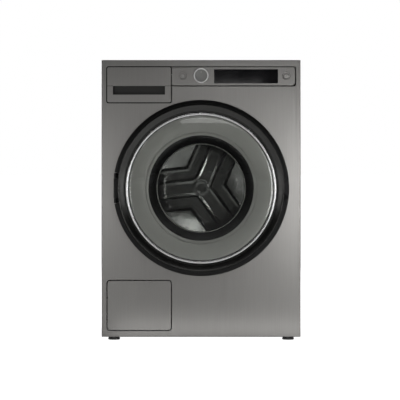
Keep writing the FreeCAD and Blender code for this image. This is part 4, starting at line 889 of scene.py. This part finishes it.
def rear_screws():
    """Domed cross-head screws down both sides of the rear panel and along its top."""
    spots = [(side * 0.28, level) for side in (-1, 1) for level in (0.06, 0.25, 0.44, 0.63, 0.8)]
    spots += [(-0.1, 0.8), (0.0, 0.8)]
    first = None
    for number, (x, z) in enumerate(spots):
        head = turned("screw_%02d" % number, [
            (0, 2.7), (0.7, 2.7), (1.5, 2.68), (2.1, 2.6), (2.6, 2.4), (3.6, 1.9),
            (4.3, 1.1), (4.5, 0), (2, 0), (2, -1.1), (0, -1.1),
        ], "spring_steel", x, z, origin=REAR, rounding=0.2, closed=False, turns=48, shape=screw_recess)
        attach(head, "cabinet")
        first = first or head
    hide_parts("rear_screws")


for node_name in ("front_left_foot", "rear_left_foot", "front_right_foot", "rear_right_foot"):
    foot(node_name)
rear_screws()


# ---------------------------------------------------------------- studio
# The floor's glow in reflections, near the machine and far from it, and as the camera sees it directly.
GLOW_NEAR, GLOW_FAR, GLOW_SEEN = 0.17, 0.02, 1.0
# Distances from the machine between which the glow in reflections fades.
FADE_START, FADE_END = 3.0, 25.0
FLOOR_RADIUS = 600
ROOM_LIGHT = 0.02


def stage_floor():
    """Large pale floor; it glows so that it stays white in the picture."""
    bpy.ops.mesh.primitive_circle_add(vertices=128, radius=FLOOR_RADIUS, fill_type="NGON",
                                      location=(0, 0, 0))
    floor = bpy.context.object
    floor.name = "floor"
    material = bpy.data.materials.new("floor_paper")
    material.use_nodes = True
    tree = material.node_tree
    shader = tree.nodes["Principled BSDF"]
    shader.inputs["Base Color"].default_value = (0.85, 0.85, 0.85, 1)
    shader.inputs["Roughness"].default_value = 0.9
    shader.inputs["Specular IOR Level"].default_value = 0.0
    shader.inputs["Emission Color"].default_value = (1, 1, 1, 1)
    path = tree.nodes.new("ShaderNodeLightPath")
    place, reach = tree.nodes.new("ShaderNodeTexCoord"), tree.nodes.new("ShaderNodeVectorMath")
    reach.operation = "LENGTH"
    tree.links.new(place.outputs["Object"], reach.inputs[0])
    fading = tree.nodes.new("ShaderNodeMapRange")
    fading.inputs["From Min"].default_value = FADE_START
    fading.inputs["From Max"].default_value = FADE_END
    fading.inputs["To Min"].default_value = GLOW_NEAR
    fading.inputs["To Max"].default_value = GLOW_FAR
    tree.links.new(reach.outputs["Value"], fading.inputs["Value"])
    glow = tree.nodes.new("ShaderNodeMapRange")
    glow.inputs["To Max"].default_value = GLOW_SEEN
    tree.links.new(fading.outputs[0], glow.inputs["To Min"])
    tree.links.new(path.outputs["Is Camera Ray"], glow.inputs["Value"])
    tree.links.new(glow.outputs[0], shader.inputs["Emission Strength"])
    floor.data.materials.append(material)


def surroundings():
    """White behind the object; a dim studio for everything that it reflects."""
    world = bpy.data.worlds.new("studio")
    bpy.context.scene.world = world
    world.use_nodes = True
    tree = world.node_tree
    tree.nodes.clear()
    path = tree.nodes.new("ShaderNodeLightPath")
    white, dim = tree.nodes.new("ShaderNodeBackground"), tree.nodes.new("ShaderNodeBackground")
    white.inputs["Strength"].default_value = 1.0
    white.inputs["Color"].default_value = (1, 1, 1, 1)
    dim.inputs["Color"].default_value = (1, 0.99, 0.97, 1)
    dim.inputs["Strength"].default_value = ROOM_LIGHT
    mix = tree.nodes.new("ShaderNodeMixShader")
    output = tree.nodes.new("ShaderNodeOutputWorld")
    tree.links.new(path.outputs["Is Camera Ray"], mix.inputs["Fac"])
    tree.links.new(dim.outputs[0], mix.inputs[1])
    tree.links.new(white.outputs[0], mix.inputs[2])
    tree.links.new(mix.outputs[0], output.inputs["Surface"])


def softbox(name, place, target, size, power):
    """A rectangular lamp that looks at a point."""
    lamp = bpy.data.lights.new(name, "AREA")
    lamp.shape = "RECTANGLE"
    lamp.size, lamp.size_y = size
    lamp.energy = power
    item = bpy.data.objects.new(name, lamp)
    item.location = place
    item.rotation_euler = (Vector(target) - Vector(place)).to_track_quat("-Z", "Y").to_euler()
    item.visible_camera = False
    bpy.context.scene.collection.objects.link(item)


def camera():
    """Long lens, level and a little above the machine's middle; the picture's middle is shifted down."""
    lens_data = bpy.data.cameras.new("camera")
    item = bpy.data.objects.new("camera", lens_data)
    bpy.context.scene.collection.objects.link(item)
    distance, view_width, view_middle = 7.0, 1.2051, 0.423
    eye_side, eye_height, sensor = -0.00325, 0.515, 36.0
    lens_data.sensor_width = sensor
    lens_data.lens = sensor * distance / view_width
    item.location = (eye_side, FRONT - distance, eye_height)
    item.rotation_euler = (math.pi / 2, 0, 0)
    lens_data.shift_y = (view_middle - eye_height) / view_width
    lens_data.clip_end = 200
    bpy.context.scene.camera = item


stage_floor()
surroundings()
# Name, place, target, width and height in metres, and power in watts.
LAMPS = [
    ("right_box", (0.5, -1.5, 0.44), (0.3, FRONT, 0.44), (0.2, 0.36), 2.0),
    ("left_box", (-0.55, -1.5, 0.43), (-0.3, FRONT, 0.43), (0.12, 0.3), 0.95),
    ("low_box", (0.08, -0.47, 0.02), (0.08, FRONT, 0.02), (0.7, 0.03), 0.09),
    ("window_box", (0.06, -1.5, 0.77), (0, 0.1, 0.36), (0.3, 0.08), 0.25),
    ("right_edge_light", (0.42, -1.5, 0.68), (0, 0.1, 0.4), (0.1, 0.1), 0.1),
    ("left_edge_light", (-0.38, -1.5, 0.72), (0, 0.1, 0.4), (0.07, 0.07), 0.06),
    ("high_box", (0.0, -3.3, 3.25), (0, FRONT, 0.66), (2.2, 0.6), 6),
    ("high_left_box", (-1.9, -3.3, 2.6), (-0.15, FRONT, 0.62), (1.1, 1.0), 1.4),
    ("high_right_box", (1.9, -3.3, 2.6), (0.15, FRONT, 0.62), (1.1, 1.0), 1.4),
    ("left_strip", (-2.35, -1.8, 0.5), (-0.2, FRONT, 0.46), (0.3, 1.0), 2.4),
    ("right_strip", (2.35, -1.8, 0.5), (0.2, FRONT, 0.46), (0.3, 1.0), 2.6),
    ("overhead", (0.0, 0.8, 2.9), (0, 0.2, 0.4), (2.4, 1.6), 22),
    ("back_fill", (1.5, 4.0, 2.0), (0, 0, 0.5), (2.0, 2.0), 50),
    ("left_fill", (-4.0, 0.9, 1.6), (0, 0, 0.5), (2.0, 2.0), 45),
    ("right_fill", (4.0, 0.9, 1.6), (0, 0, 0.5), (2.0, 2.0), 45),
]
for lamp_row in LAMPS:
    softbox(*lamp_row)
camera()
bpy.context.scene.view_settings.view_transform = "Standard"
